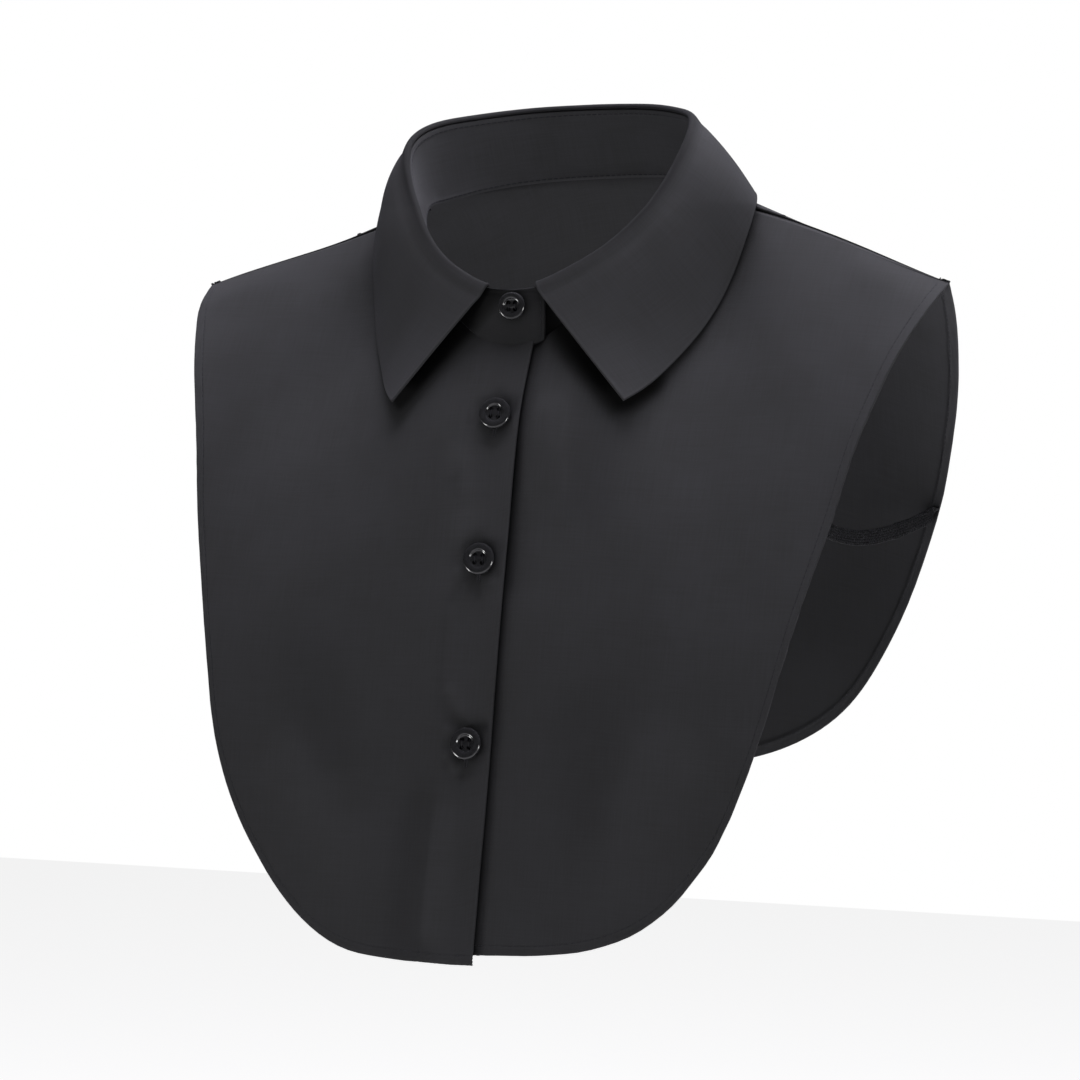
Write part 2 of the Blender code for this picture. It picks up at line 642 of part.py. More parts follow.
def main():
    """Clears the file and builds every piece."""
    for obj in list(bpy.data.objects):
        bpy.data.objects.remove(obj, do_unlink=True)
    front_panel("front_right", -1.0, make_material("front_right_cloth", BLACK, ROUGH_CLOTH))
    front_panel("front_left", 1.0, make_material("front_left_cloth", BLACK, ROUGH_CLOTH))
    back_panel("back", make_material("back_cloth", BLACK, ROUGH_CLOTH))
    collar_stand("collar_stand", make_material("stand_cloth", BLACK, ROUGH_CLOTH))
    collar_fall("collar_fall", make_material("fall_cloth", BLACK, ROUGH_CLOTH))
    elastic_strap("elastic_left", 1.0, make_material("elastic_left_band", ELASTIC_BLACK, ROUGH_BAND))
    elastic_strap("elastic_right", -1.0, make_material("elastic_right_band", ELASTIC_BLACK, ROUGH_BAND))
    for number, across, height, wide in BUTTONS:
        material = make_material("button_%d_plastic" % number, PLASTIC, ROUGH_PLASTIC)
        button("button_%d" % number, across, height, wide, material)


if __name__ == "__main__":
    main()
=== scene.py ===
"""Detachable shirt collar in black shirting: the look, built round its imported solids.

Lengths in the tables are millimetres in the part's own frame: +X is the wearer's left, -Y the
front and +Z up, with the origin in the middle of the neck opening.
"""
import math

import bpy
import numpy as np
from bpy.props import FloatProperty, FloatVectorProperty, IntProperty, PointerProperty
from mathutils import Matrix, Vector


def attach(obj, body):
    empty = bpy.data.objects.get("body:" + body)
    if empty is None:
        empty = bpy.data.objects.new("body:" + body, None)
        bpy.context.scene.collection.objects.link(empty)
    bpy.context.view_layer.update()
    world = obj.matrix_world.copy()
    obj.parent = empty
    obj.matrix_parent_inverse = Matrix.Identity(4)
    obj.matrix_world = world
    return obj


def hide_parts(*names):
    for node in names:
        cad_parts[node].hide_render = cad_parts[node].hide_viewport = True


bl_info = {
    "name": "Detachable shirt collar",
    "version": (1, 0, 0),
    "blender": (4, 5, 0),
    "location": "3D View > Sidebar > Collar",
    "description": "Buttoned false collar in black shirting with stitched hems and elastic sides",
    "category": "Object",
}

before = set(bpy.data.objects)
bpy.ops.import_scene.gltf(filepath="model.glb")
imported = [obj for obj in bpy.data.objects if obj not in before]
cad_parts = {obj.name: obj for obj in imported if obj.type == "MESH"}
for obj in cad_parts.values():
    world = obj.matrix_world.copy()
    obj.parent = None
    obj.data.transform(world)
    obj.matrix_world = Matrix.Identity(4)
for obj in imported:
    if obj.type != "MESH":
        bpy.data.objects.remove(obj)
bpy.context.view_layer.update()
MM = 0.001
MIRROR = np.array([-1.0, 1.0, 1.0])

# ---- walls, laps and seams ----
GAP = 0.3              # air between two layers
SEAM_AIR = 0.03        # the shoulder seam's two edges all but touch
SEAM_TURN = 4.0        # both panels turn flat toward it over this width
OVERLAP, FACING = 10.0, 25.0       # a front's reach past the centre, and its folded facing's width
FALL_START = 11.0      # the fall starts this far from the centre front
STAND_END = 15.0       # the stand's two ends pass the centre by this much
STAND_CORNER = 6.5     # the stand's upper corners are this round
STAND_TUCK, TUCK_FROM = 20.0, 2.0      # its under end steps in over this length, from here
STAND_LAP = 1.8        # the stand's foot covers the raw neck edge by this much
STAND_PROUD = (0.35, 0.45)    # and stands this far proud of it outside and inside
# painted shade inside the back, just under the stand: strength, middle, half width; where it ends by
# the shoulder seam; and the strength of its hem's painted light and shade
SEAM_SHADE, SEAM_SHADE_END, HEM_LIGHT_SHADE = (0.9, STAND_LAP + 0.6, 1.2), 6.0, 1.6
TAB_SHADE = 7.0        # the under end is in shade this far round the upper end's edge
UNDER_DIP, UNDER_EASE = 1.75, 7.0      # the left front dips this far behind the right, over this width
ROUND = 0.45           # a folded edge is rounded over this width

# ---- unevenness of the worn collar ----
# the left side is higher by this share of its way across, the neck leans right by this share of its
# height, and both fade out over this width at the shoulder tips
LEAN, LEAN_SIDE, LEAN_SPAN = 0.032, 0.12, 80.0
# the first starts this far down, is full this much higher, and over this height falls to this rest
LEAN_FLOOR, LEAN_DEPTH, LEAN_CALM, LEAN_REST = 200.0, 120.0, 40.0, 0.4
# the right front hangs lower by the first, fading from the second over the third, and a share forward
RIGHT_LONGER, LONGER_FROM, LONGER_OVER, LONGER_FORWARD = 4.2, 42.0, 45.0, 0.2

# ---- shoulder line: its tip, the seam's place, slope and round middle, flare to the neck, and bow ----
TIP_X, TIP_Z, RIDGE_Y, RIDGE_SLOPE, RIDGE_ROUND = 168.8, -32.5, 8.0, 0.312, 30.0
FLARE_END, FLARE_SPAN, FLARE_RISE = 130.0, 66.0, 3.0
RIDGE_BOW, NECK_X = 1.3, 63.5
SHOULDER_AT = 0.515     # the seam meets the stand at this share of the half neck seam

# ---- rings of the neck: (across, back, up) from the centre front to the centre back ----
NECK_SEAM = (
    (0.0, -48.5, -57.5), (11.5, -47.5, -55.5), (21.0, -44.0, -50.0), (35.5, -36.5, -39.5),
    (48.0, -25.5, -25.0), (57.5, -11.5, -10.0), (63.5, 4.0, 2.8), (62.5, 19.0, 6.2),
    (53.5, 36.0, 10.3), (33.0, 51.5, 14.0), (0.0, 57.5, 15.1),
)
STAND_TOP = (
    (0.0, -48.5, -35.0), (11.0, -47.3, -34.0), (22.0, -44.5, -29.5), (36.5, -38.0, -20.5),
    (49.0, -29.0, -7.5), (58.8, -18.0, 9.0), (63.7, -5.0, 26.0), (59.6, 11.0, 34.4),
    (47.5, 28.5, 38.5), (28.0, 44.0, 41.5), (0.0, 49.5, 42.5),
)
FALL_EDGE = (
    (50.5, -56.0, -79.5), (58.0, -47.0, -75.5), (66.0, -36.0, -67.0), (74.0, -25.0, -54.5),
    (80.5, -14.5, -39.0), (85.5, -6.5, -20.0), (86.5, 5.0, -2.6), (80.0, 20.0, 2.5),
    (67.5, 36.0, 5.5), (42.0, 57.5, 7.5), (0.0, 67.5, 8.0),
)
# the fold over the stand's top: (out, up) from the top of the stand
FOLD = ((-0.72, 0.3), (-0.64, 0.85), (-0.15, 1.3), (0.5, 1.4), (1.15, 1.0))
FALL_KNOTS = (0.045, 0.1, 0.18, 0.28, 0.4, 0.53, 0.66, 0.78, 0.89, 1.0)
FOLD_COLUMN, FOLD_REACH = 11, 2.6     # the fold's crest among the section's columns; its shade's reach
HANG = (1.5, -1.2)     # the fall hangs from here
FALL_SWELL = ((0.0, 1.0), (0.2, 3.0), (0.4, 5.2), (0.52, 3.4), (0.65, 1.2), (0.8, 1.0), (1.0, 1.6))
SWELL_SKEW = 0.62

# how the two ends of the fall differ: (share of the half, across, back, up), left then right
FALL_TRIM_LEFT = (
    (0.0, 2.6, -0.4, -2.0), (0.08, 0.9, 0.0, -0.2), (0.2, 0.0, 0.0, 0.0),
    (0.35, -0.3, 0.0, 0.0), (0.6, 0.0, 0.0, 0.0), (1.0, 0.0, 0.0, 0.0),
)
FALL_TRIM_RIGHT = (
    (0.0, 0.0, 0.0, 0.0), (0.15, -1.6, 0.0, 0.0), (0.3, -2.2, 0.0, 0.0),
    (0.45, -2.6, 0.0, 0.0), (0.6, -2.0, 0.0, 0.0), (1.0, 0.0, 0.0, 0.0),
)

# ---- free edges: (across, back, up) ----
FRONT_EDGE = (
    (0.0, -108.0, -299.5), (25.0, -106.5, -299.0), (47.8, -103.0, -297.3), (67.3, -97.5, -292.3),
    (81.0, -93.0, -284.3), (96.4, -88.5, -267.5), (106.9, -86.5, -251.0), (113.8, -85.2, -235.0),
    (119.4, -82.9, -218.5), (124.7, -78.0, -197.6), (129.8, -72.1, -175.0), (136.2, -63.6, -149.4),
    (142.4, -54.6, -124.1), (147.2, -46.3, -100.3), (152.3, -38.0, -82.0), (157.1, -29.7, -66.1),
    (162.8, -17.3, -50.2), (165.8, -9.0, -42.4), (TIP_X, RIDGE_Y, TIP_Z),
)
BACK_EDGE = (
    (TIP_X, RIDGE_Y, TIP_Z), (166.8, 21.0, -43.0), (162.4, 39.0, -60.0), (157.9, 52.0, -80.0),
    (151.8, 61.0, -105.0), (147.5, 64.5, -122.0), (142.1, 66.0, -139.0), (135.8, 67.0, -156.3),
    (128.3, 68.0, -173.5), (118.8, 69.5, -190.6), (106.7, 71.5, -207.8), (96.5, 73.5, -217.5),
    (79.0, 77.5, -228.2), (58.0, 83.0, -236.0), (30.0, 89.0, -241.0), (0.0, 92.0, -242.5),
)

# ---- how far the fronts stand ahead of the shoulder seam: rows drop, columns across ----
DEPTH_X = (0.0, 35.0, 60.0, 85.0, 100.0, 115.0, 145.0, 170.0)
DEPTH = (
    (0.0, (0.0, 0.0, 0.0, 0.0, 0.0, 0.0, 0.0, 0.0)),
    (4.0, (11.7, 13.3, 8.9, 4.0, 4.4, 5.2, 8.3, 7.7)),
    (10.0, (20.5, 21.4, 15.2, 8.4, 9.0, 10.4, 14.3, 15.6)),
    (20.0, (33.1, 30.9, 21.9, 13.8, 15.8, 18.4, 22.5, 27.7)),
    (35.0, (45.2, 39.8, 28.5, 20.6, 24.5, 28.2, 33.1, 40.7)),
    (50.0, (48.0, 44.1, 34.2, 28.2, 32.6, 36.7, 42.2, 50.5)),
    (75.0, (57.5, 54.1, 45.6, 42.4, 45.2, 48.6, 54.3, 60.6)),
    (100.0, (69.3, 67.0, 59.4, 56.0, 57.4, 59.9, 63.8, 67.4)),
    (130.0, (77.5, 76.4, 72.8, 69.7, 70.3, 71.6, 73.8, 75.5)),
    (160.0, (83.7, 83.2, 81.8, 80.5, 80.6, 81.0, 82.7, 83.7)),
    (200.0, (91.9, 92.3, 90.8, 89.5, 89.5, 90.0, 90.5, 90.8)),
    (240.0, (99.5, 98.9, 97.2, 95.1, 95.1, 95.4, 95.7, 96.1)),
    (280.0, (107.9, 107.3, 104.6, 101.7, 101.0, 100.8, 100.2, 99.8)),
    (320.0, (116.9, 115.6, 112.9, 108.7, 107.2, 106.3, 104.7, 103.6)),
)
# how far the back bulges out, from the shoulder seam to the middle; the bulge tilts up by these degrees
# at the seam, its crest lies toward the neck, rays crowd to the seam, and edges keep their place
BACK_BULGE = ((0.0, 0.0), (0.1, 3.6), (0.3, 7.5), (0.55, 12.5), (0.8, 18.0), (1.0, 20.0))
BACK_LIFT, BACK_SKEW, RAY_CROWD, EDGE_HOLD = 70.0, 0.75, 1.25, 4

# ---- buttons and elastic ----
# (number, its middle across and up, width, turn of its face to the side in degrees)
BUTTONS = ((1, 0.9, -41.7, 11.4, 9.0), (2, -0.2, -85.6, 13.2, 9.0), (3, -1.2, -143.8, 13.2, 7.0),
           (4, -0.2, -217.2, 13.2, 2.0))
BUTTON_LIFT = 0.45      # a button's foot stands this far off the cloth's middle line
# the cloth sinks this much under a button and puckers this much in a ring round it
SINK, SINK_WIDE, PULL_HIGH, PULL_RING, PULL_WIDE = 0.5, 7.5, 0.42, 8.5, 3.4
DISH_FLOOR = 0.61       # height of a button's dished middle, as a share of its rim's
# buttonholes: rows beside the slit, reach below and above the button's middle, stitch step and width
HOLE_SIDE, HOLE_DOWN, HOLE_UP, HOLE_STEP, HOLE_THREAD = 0.55, 9.2, 6.0, 0.36, 0.85
HOLE_OUT = 0.122        # a hole's middle across and up from the button's, as a share of its width
# how far in from the front and back hem a strap begins, and leaves the cloth; its sag, and where that is
ELASTIC_LAP, ELASTIC_END, ELASTIC_SAG, ELASTIC_LOW = (6.0, 4.2), (1.4, 2.2), 5.5, 0.4
ELASTIC_FRONT, ELASTIC_BACK, ELASTIC_AIR = -131.5, -130.8, 0.12     # heights, and air beside the hem
ELASTIC_STEP, ELASTIC_TURN = 0.35, 9    # spacing along a strap, and its turns' reach in such steps

# ---- painted shade where layers of black cloth lie close: reach in metres and how fast it deepens ----
CLOSE_SHADE_REACH, CLOSE_SHADE_DEPTH = 0.009, 1.8
# the shade beside the fall's slanting edges: (across, up) at the stand and at the point, and how far
# it goes on under the fall; then its reach at both ends on the wearer's left and right
SHADE_TOP, SHADE_TIP, SHADE_BACK = (12.0, -33.0), (50.5, -79.5), 8.0
SHADE_REACH = {1: (18.0, 8.5), -1: (15.0, 4.0)}
SHADE_FULL, SHADE_FADE = 0.35, 0.85     # full up to this share of the reach, gone this much farther on
CREASE_LIGHT_SHADE, CREASE_FULL = 0.13, 0.3     # painted light and shade: ridges of the fronts are painted lighter, and troughs darker
# between the points: strength, from where and over how far up, and out to where and over how far across
THROAT_SHADE = (0.34, -88.0, 42.0, 48.0, 22.0)
STAND_SHADE, FOLD_SHADE = 0.42, 0.5     # on the stand, and along the fold
SHADE_DEPTH = 0.96
INNER_LIGHT = 0.45      # painted light: the faces toward the body are painted this much lighter
LOW_SHADE = (0.2, -90.0, 170.0)     # the fronts darken downward: by how much, from where, over how far
BACK_SHADE = (0.8, -60.0, 130.0)    # and so does the inside of the back
PLACKET_SHADE = (0.35, 0.2, 1.8)    # beside the upper front's edge: strength, middle past it, half width

# ---- grid steps: distances in from an edge, finest at the edge ----
EDGE_STEPS = (0.0, 0.06, 0.18, 0.36, 0.6, 1.0, 1.6, 2.3, 2.9,
              3.3, 3.6, 3.9, 4.2, 4.5, 4.9, 5.5, 6.3, 7.3)
RIM_STEPS = (0.0, 0.06, 0.18, 0.36, 0.6, 1.0, 1.5, 2.0, 2.6, 3.3)
FRONT_RAYS, FRONT_ROWS, BACK_RAYS, BACK_ROWS = 84, 170, 84, 96
HEM_LINE = 3.9         # stitch line's distance from a hem's edge
HEM_PLY = 4.5          # width of the turned hem
NECK_STEPS = (0.0, 0.1, 0.3, 0.7, 1.3)

# ---- small unevenness of the cloth ----
HEM_RISE, ROPING, STITCH_SINK = 0.1, (0.13, 0.09), 0.14     # a hem's face over the cloth
FACING_RISE = 0.1
# sunk stitches: depth, distance from the edge, half width
STAND_GROOVE, FALL_GROOVE, FACING_GROOVE = (0.2, 1.7, 0.4), (0.1, 1.6, 0.5), (0.1, FACING - 0.8, 0.5)
# waves along a length: height, period, and where in its run it starts
LAP_WAVE, FOOT_WAVE = (0.12, 31.0, 1.3), (0.12, 11.0, 0.4)
STAND_WAVE, FALL_WAVE = (0.25, 37.0, 2.2), (0.3, 43.0, 1.1)
CALM_FRONT, CALM_BACK = (12.0, 8.0), (14.0, 10.0)     # creases end this near hem and neck, and the seam
SEAM_CALM = 3.0        # and a hem's unevenness this near the shoulder seam

# ---- studio: lamps as (name, place in metres, size in metres, watts) ----
AMBIENT = 0.02
LAMP_AIM = (0.0, 0.0, -0.12)
FLOOR_SIZE, FLOOR_HEIGHT, FLOOR_GLOW = 9.0, -0.95, (0.25, 0.85)     # its glow for light and camera
WHITE = (1.0, 1.0, 1.0)
# the camera's degrees round and up, metres away, the millimetre point it looks at, its film and lens
VIEW_ROUND, VIEW_UP, VIEW_AWAY, VIEW_AT = 24.0, 3.0, 1.8, (-8.682, 0.0, -139.802)
FILM, LENS = 36.0, 36.0 * 4286.0 / 1080.0
LAMPS = (
    ("lamp_over", (0.0, 0.2, 1.4), 1.2, 41.0),
    ("lamp_behind", (0.3, 0.9, 1.3), 0.8, 6.0),
    ("lamp_front", (0.3, -2.1, 0.1), 1.0, 3.8),
    ("lamp_over_right", (1.0, 0.0, 1.1), 0.9, 6.5),
)
OVER_TINT = (1.0, 0.985, 1.06)     # of the lamps overhead
# small lamps that only glint on the buttons
GLINTS = (
    ("glint_left", (-1.0, -0.72, -0.72), 0.4, 10.0),
    ("glint_right", (1.46, -0.52, -0.47), 0.45, 12.0),
)


# ---- numbers ----
def second_derivatives(xs, ys):
    """Natural cubic spline's second derivatives; ys holds one column for each spline."""
    n, h = len(xs), np.diff(xs)
    m, rhs = np.eye(n), np.zeros(ys.shape)
    slope = np.diff(ys, axis=0) / h.reshape((-1,) + (1,) * (ys.ndim - 1))
    for i in range(1, n - 1):
        m[i, i - 1:i + 2] = h[i - 1], 2 * (h[i - 1] + h[i]), h[i]
        rhs[i] = 6 * (slope[i] - slope[i - 1])
    return np.linalg.solve(m, rhs)


def spline(xs, ys, x, each=False):
    """Natural cubic spline through (xs, ys), read at x; ys may hold columns, each with its own x."""
    xs, ys = np.asarray(xs, float), np.asarray(ys, float)
    second, h = second_derivatives(xs, ys), np.diff(xs)
    x = np.clip(np.asarray(x, float), xs[0], xs[-1])
    k = np.clip(np.searchsorted(xs, x) - 1, 0, len(xs) - 2)
    a, b, w = (xs[k + 1] - x) / h[k], (x - xs[k]) / h[k], h[k] ** 2 / 6
    low, high = k, k + 1
    if each:
        low, high = (low, np.arange(len(x))), (high, np.arange(len(x)))
    elif ys.ndim > 1:
        a, b, w = a[..., None], b[..., None], w[..., None]
    return a * ys[low] + b * ys[high] + ((a ** 3 - a) * second[low] + (b ** 3 - b) * second[high]) * w


class Path:
    """A smooth 3-D line through a short table, read by its length from the start."""

    def __init__(self, rows):
        rows = np.asarray(rows, float)
        knot = lengths(rows)
        self.fine = spline(knot, rows, np.linspace(0.0, knot[-1], 1200))
        self.at = lengths(self.fine)
        self.long = self.at[-1]

    def read(self, s):
        """Point at length s; a negative s gives the mirrored point across the centre."""
        s = np.asarray(s, float)
        p = read_line(abs(s), self.at, self.fine)
        p[..., 0] *= np.where(s < 0, -1.0, 1.0)
        return p


def lengths(p):
    """Running length along a line of points."""
    return np.concatenate([[0.0], np.cumsum(np.linalg.norm(np.diff(p, axis=0), axis=1))])


def read_line(s, at, rows):
    """A line's rows read at lengths s, where at holds each row's own."""
    return np.stack([np.interp(s, at, rows[:, k]) for k in range(3)], -1)


def unit(v):
    """Vectors scaled to length one."""
    return v / np.maximum(np.linalg.norm(v, axis=-1, keepdims=True), 1e-9)


def square_to(run, v):
    """Directions v turned square to run."""
    return unit(v - run * np.sum(run * v, axis=1, keepdims=True))


def ease(x):
    """Smooth step from 0 to 1."""
    x = np.clip(x, 0.0, 1.0)
    return x * x * (3 - 2 * x)


def hump(d, width):
    """Soft bell over a distance."""
    return np.exp(-(d / width) ** 2)


def wander(s, high, period, seed):
    """Smooth uneven wave along a length, about high up and down."""
    parts = (math.cos(seed * (k + 1.7)) * np.sin(2 * math.pi * s / (period * f) + seed * (2.1 + k))
             for k, f in enumerate((1.0, 1.73, 0.61)))
    return high * sum(parts) / 1.4


def ridge_bow(x):
    """Upward bow of the shoulder seam between neck and tip."""
    return RIDGE_BOW * np.sin(math.pi * np.clip((abs(x) - NECK_X) / (TIP_X - NECK_X), 0.0, 1.0))


def ridge_height(x):
    """Height of the shoulder line, drawn on to the centre."""
    x = abs(x)
    x = np.where(x < RIDGE_ROUND, x * x / (2 * RIDGE_ROUND) + RIDGE_ROUND / 2, x)
    flare = FLARE_RISE * np.clip((FLARE_END - x) / FLARE_SPAN, 0.0, 1.0) ** 2
    return TIP_Z + RIDGE_SLOPE * (TIP_X - x) + flare + ridge_bow(x)


def front_y(x, z):
    """Back-to-front place of the fronts' outer face at a point of the front view."""
    x = np.clip(abs(x), 0.0, DEPTH_X[-1])
    drop = np.clip(ridge_height(x) - z, 0.0, DEPTH[-1][0])
    drops, depths = zip(*DEPTH)
    rows = spline(np.sqrt(drops), depths, np.sqrt(drop).reshape(-1))
    ahead = spline(DEPTH_X, rows.T, np.broadcast_to(x, drop.shape).reshape(-1), each=True)
    return RIDGE_Y - ahead.reshape(drop.shape)


def groove(d, deep, at, half):
    """A line of stitches sunk into the cloth beside an edge."""
    return -deep * hump(d - at, half)


def mirrored(rows, flip=1.0):
    """A half's rows with their mirrored copy after the middle row."""
    return np.concatenate([rows, rows[:-1][::-1] * flip])


def leaning(p):
    """The small unevenness of the neck against the shoulders."""
    p = np.array(p, float)
    near = ease((TIP_X - abs(p[..., 0])) / LEAN_SPAN)
    high = ease((p[..., 2] + LEAN_FLOOR) / LEAN_DEPTH)
    high = high * (1 - (1 - LEAN_REST) * ease(p[..., 2] / LEAN_CALM))
    p[..., 2] += LEAN * p[..., 0] * near * high
    p[..., 0] -= LEAN_SIDE * np.maximum(p[..., 2], 0.0) * near
    return p


def grid_normals(p):
    """Unit normals of a grid of points (rows by columns)."""
    return unit(np.cross(np.gradient(p, axis=0), np.gradient(p, axis=1)))


def rounding(d, reach=ROUND):
    """Share of a wall's thickness that is left near a rounded edge."""
    return np.sqrt(1 - (1 - np.clip(d / reach, 0.12, 1.0)) ** 2)


def fill_steps(start, stop, first, count, last=()):
    """Distances from start to stop: the fine steps of both ends with even ones between."""
    head = start + np.asarray(first)
    tail = stop - np.asarray(last)[::-1] if len(last) else np.array([stop])
    return np.concatenate([head, np.linspace(head[-1], tail[0], count + 2)[1:-1], tail])


# ---- meshes and pieces ----
def new_piece(name, verts, faces, material, uv=None, shade=None):
    """A mesh piece from millimetre points that rides on the part."""
    faces = np.asarray(faces)
    mesh = bpy.data.meshes.new(name)
    mesh.from_pydata((np.asarray(verts) * MM).tolist(), [], faces.tolist())
    mesh.shade_smooth()
    if shade is not None:
        tone = mesh.attributes.new("shade", "FLOAT", "POINT")
        tone.data.foreach_set("value", np.asarray(shade, np.float32))
    if uv is not None:
        layer = mesh.uv_layers.new(name="grain")
        layer.data.foreach_set("uv", (uv * MM)[faces.reshape(-1)].reshape(-1))
    mesh.update()
    mesh.validate()
    mesh.materials.append(material)
    obj = bpy.data.objects.new(name, mesh)
    bpy.context.scene.collection.objects.link(obj)
    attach(obj, "root")
    return obj


def shell_faces(rows, cols):
    """Quads of a closed wall between two equal grids of points."""
    i, j = np.meshgrid(np.arange(rows - 1), np.arange(cols - 1), indexing="ij")
    a = (i * cols + j).reshape(-1)
    b, n = a + cols, rows * cols
    outer = np.stack([a, b, b + 1, a + 1], 1)
    inner = np.stack([a + 1, b + 1, b, a], 1) + n
    rim = [(0, k) for k in range(cols - 1)] + [(k, cols - 1) for k in range(rows - 1)]
    rim += [(rows - 1, k) for k in range(cols - 1, 0, -1)] + [(k, 0) for k in range(rows - 1, 0, -1)]
    loop = np.array([k * cols + m for k, m in rim])
    after = np.roll(loop, -1)
    return np.concatenate([outer, inner, np.stack([loop, after, after + n, loop + n], 1)])


def shell_piece(name, outer, inner, uv, material, flip=False, shade=0.0, inner_shade=0.0):
    """A closed cloth wall; both grids get the same grain map, and each its own painted shade, with
    painted light on the inner one.
    """
    grid = outer.shape[:2]
    tones = np.stack([np.broadcast_to(shade, grid), np.broadcast_to(inner_shade, grid) - INNER_LIGHT])
    if flip:
        outer, inner, uv, tones = outer[::-1], inner[::-1], uv[::-1], tones[:, ::-1]
    verts = np.concatenate([outer.reshape(-1, 3), inner.reshape(-1, 3)])
    return new_piece(name, verts, shell_faces(*grid), material,
                     np.concatenate([uv.reshape(-1, 2)] * 2), tones.reshape(-1))


def add_tube(verts, faces, rings):
    """Adds a tube through equal rings of points, closed at both ends."""
    base, around = len(verts), len(rings[0])
    for ring in rings:
        verts.extend(ring)
    for k in range(len(rings) - 1):
        for m in range(around):
            a, b = base + k * around + m, base + k * around + (m + 1) % around
            faces.append((a, b, b + around, a + around))
    for first, turn in ((base, -1), (base + (len(rings) - 1) * around, 1)):
        cap = [first + m for m in range(around)][::turn]
        faces.extend((cap[0], cap[m], cap[m + 1], cap[m + 2]) for m in range(1, around - 1, 2))


# a stitch's bead: (share of its length from the middle, share of its width)
BEAD = ((-0.5, 0.25), (-0.36, 0.8), (0.0, 1.0), (0.36, 0.8), (0.5, 0.25))


def stitch_mesh(rows, size):
    """Small rounded beads along lines of (points, outward directions); size is (long, wide, high)."""
    long, wide, high = size
    turns = np.linspace(0, 2 * math.pi, 7)[:-1]
    verts, faces = [], []
    for points, outs in rows:
        run = unit(np.diff(points, axis=0))
        for p, q, t, n in zip(points[:-1], points[1:], run, outs[:-1]):
            middle, side = (p + q) / 2, np.cross(t, n)
            add_tube(verts, faces, [
                [middle + t * along * long + side * math.cos(a) * fat * wide / 2
                 + n * (math.sin(a) * fat * high / 2) for a in turns] for along, fat in BEAD])
    return np.array(verts), np.array(faces)


def spaced(points, outs, step):
    """A line of points and directions read again at an even step."""
    at = lengths(points)
    s = np.arange(0.0, at[-1], step)
    return read_line(s, at, points), unit(read_line(s, at, outs))


# ---- materials ----
def new_material(name, colour, rough, sheen=0.0, specular=0.5, coat=0.0):
    """A Principled material with its plain values set on the shader."""
    mat = bpy.data.materials.new(name)
    mat.use_nodes = True
    shader = mat.node_tree.nodes["Principled BSDF"]
    shader.inputs["Base Color"].default_value = (*colour, 1.0)
    shader.inputs["Roughness"].default_value = rough
    shader.inputs["Specular IOR Level"].default_value = specular
    shader.inputs["Sheen Weight"].default_value = sheen
    shader.inputs["Sheen Roughness"].default_value = 0.45
    shader.inputs["Sheen Tint"].default_value = (0.8, 0.78, 1.0, 1.0)
    shader.inputs["Coat Weight"].default_value = coat
    shader.inputs["Coat Roughness"].default_value = 0.05
    mat.diffuse_color = (*colour, 1.0)
    return mat, mat.node_tree, shader


def feed(node, inputs):
    """Sets a node's inputs: each is a plain value, or a (node, output) that is joined to it."""
    for key, value in dict(inputs).items():
        if isinstance(value, tuple) and isinstance(value[0], bpy.types.Node):
            node.id_data.links.new(value[0].outputs[value[1]], node.inputs[key])
        else:
            node.inputs[key].default_value = value


def add_node(tree, kind, inputs=(), **settings):
    """A node with its settings and inputs."""
    node = tree.nodes.new("ShaderNode" + kind)
    for key, value in settings.items():
        setattr(node, key, value)
    feed(node, inputs)
    return node


def add_math(tree, operation, *inputs):
    """A sum, product or other operation on values and (node, output) pairs."""
    return add_node(tree, "Math", enumerate(inputs), operation=operation)


def add_tones(tree, fac, colour, dark, light, start=0.0, stop=1.0):
    """A ramp from a darker to a lighter share of one colour, between two places."""
    ramp = add_node(tree, "ValToRGB", {"Fac": fac})
    for end, place, share in zip(ramp.color_ramp.elements, (start, stop), (dark, light)):
        end.position, end.color = place, (*(np.array(colour) * share), 1.0)
    return ramp, "Color"


def paint_close_shade(tree, colour):
    """Paints shade into a colour where another layer lies close over it, and by the mesh's painted
    shade.
    """
    near = add_node(tree, "AmbientOcclusion", {"Distance": CLOSE_SHADE_REACH}, samples=6)
    deep = add_math(tree, "POWER", (near, "AO"), CLOSE_SHADE_DEPTH)
    shade = add_node(tree, "Attribute", attribute_name="shade")
    light = add_math(tree, "MULTIPLY_ADD", (shade, "Fac"), -SHADE_DEPTH, 1.0)
    both = add_math(tree, "MULTIPLY", (deep, 0), (light, 0))
    return add_node(tree, "Mix", {"Factor": 1.0, "A": colour, "B": (both, 0)},
                    data_type="RGBA", blend_type="MULTIPLY"), "Result"


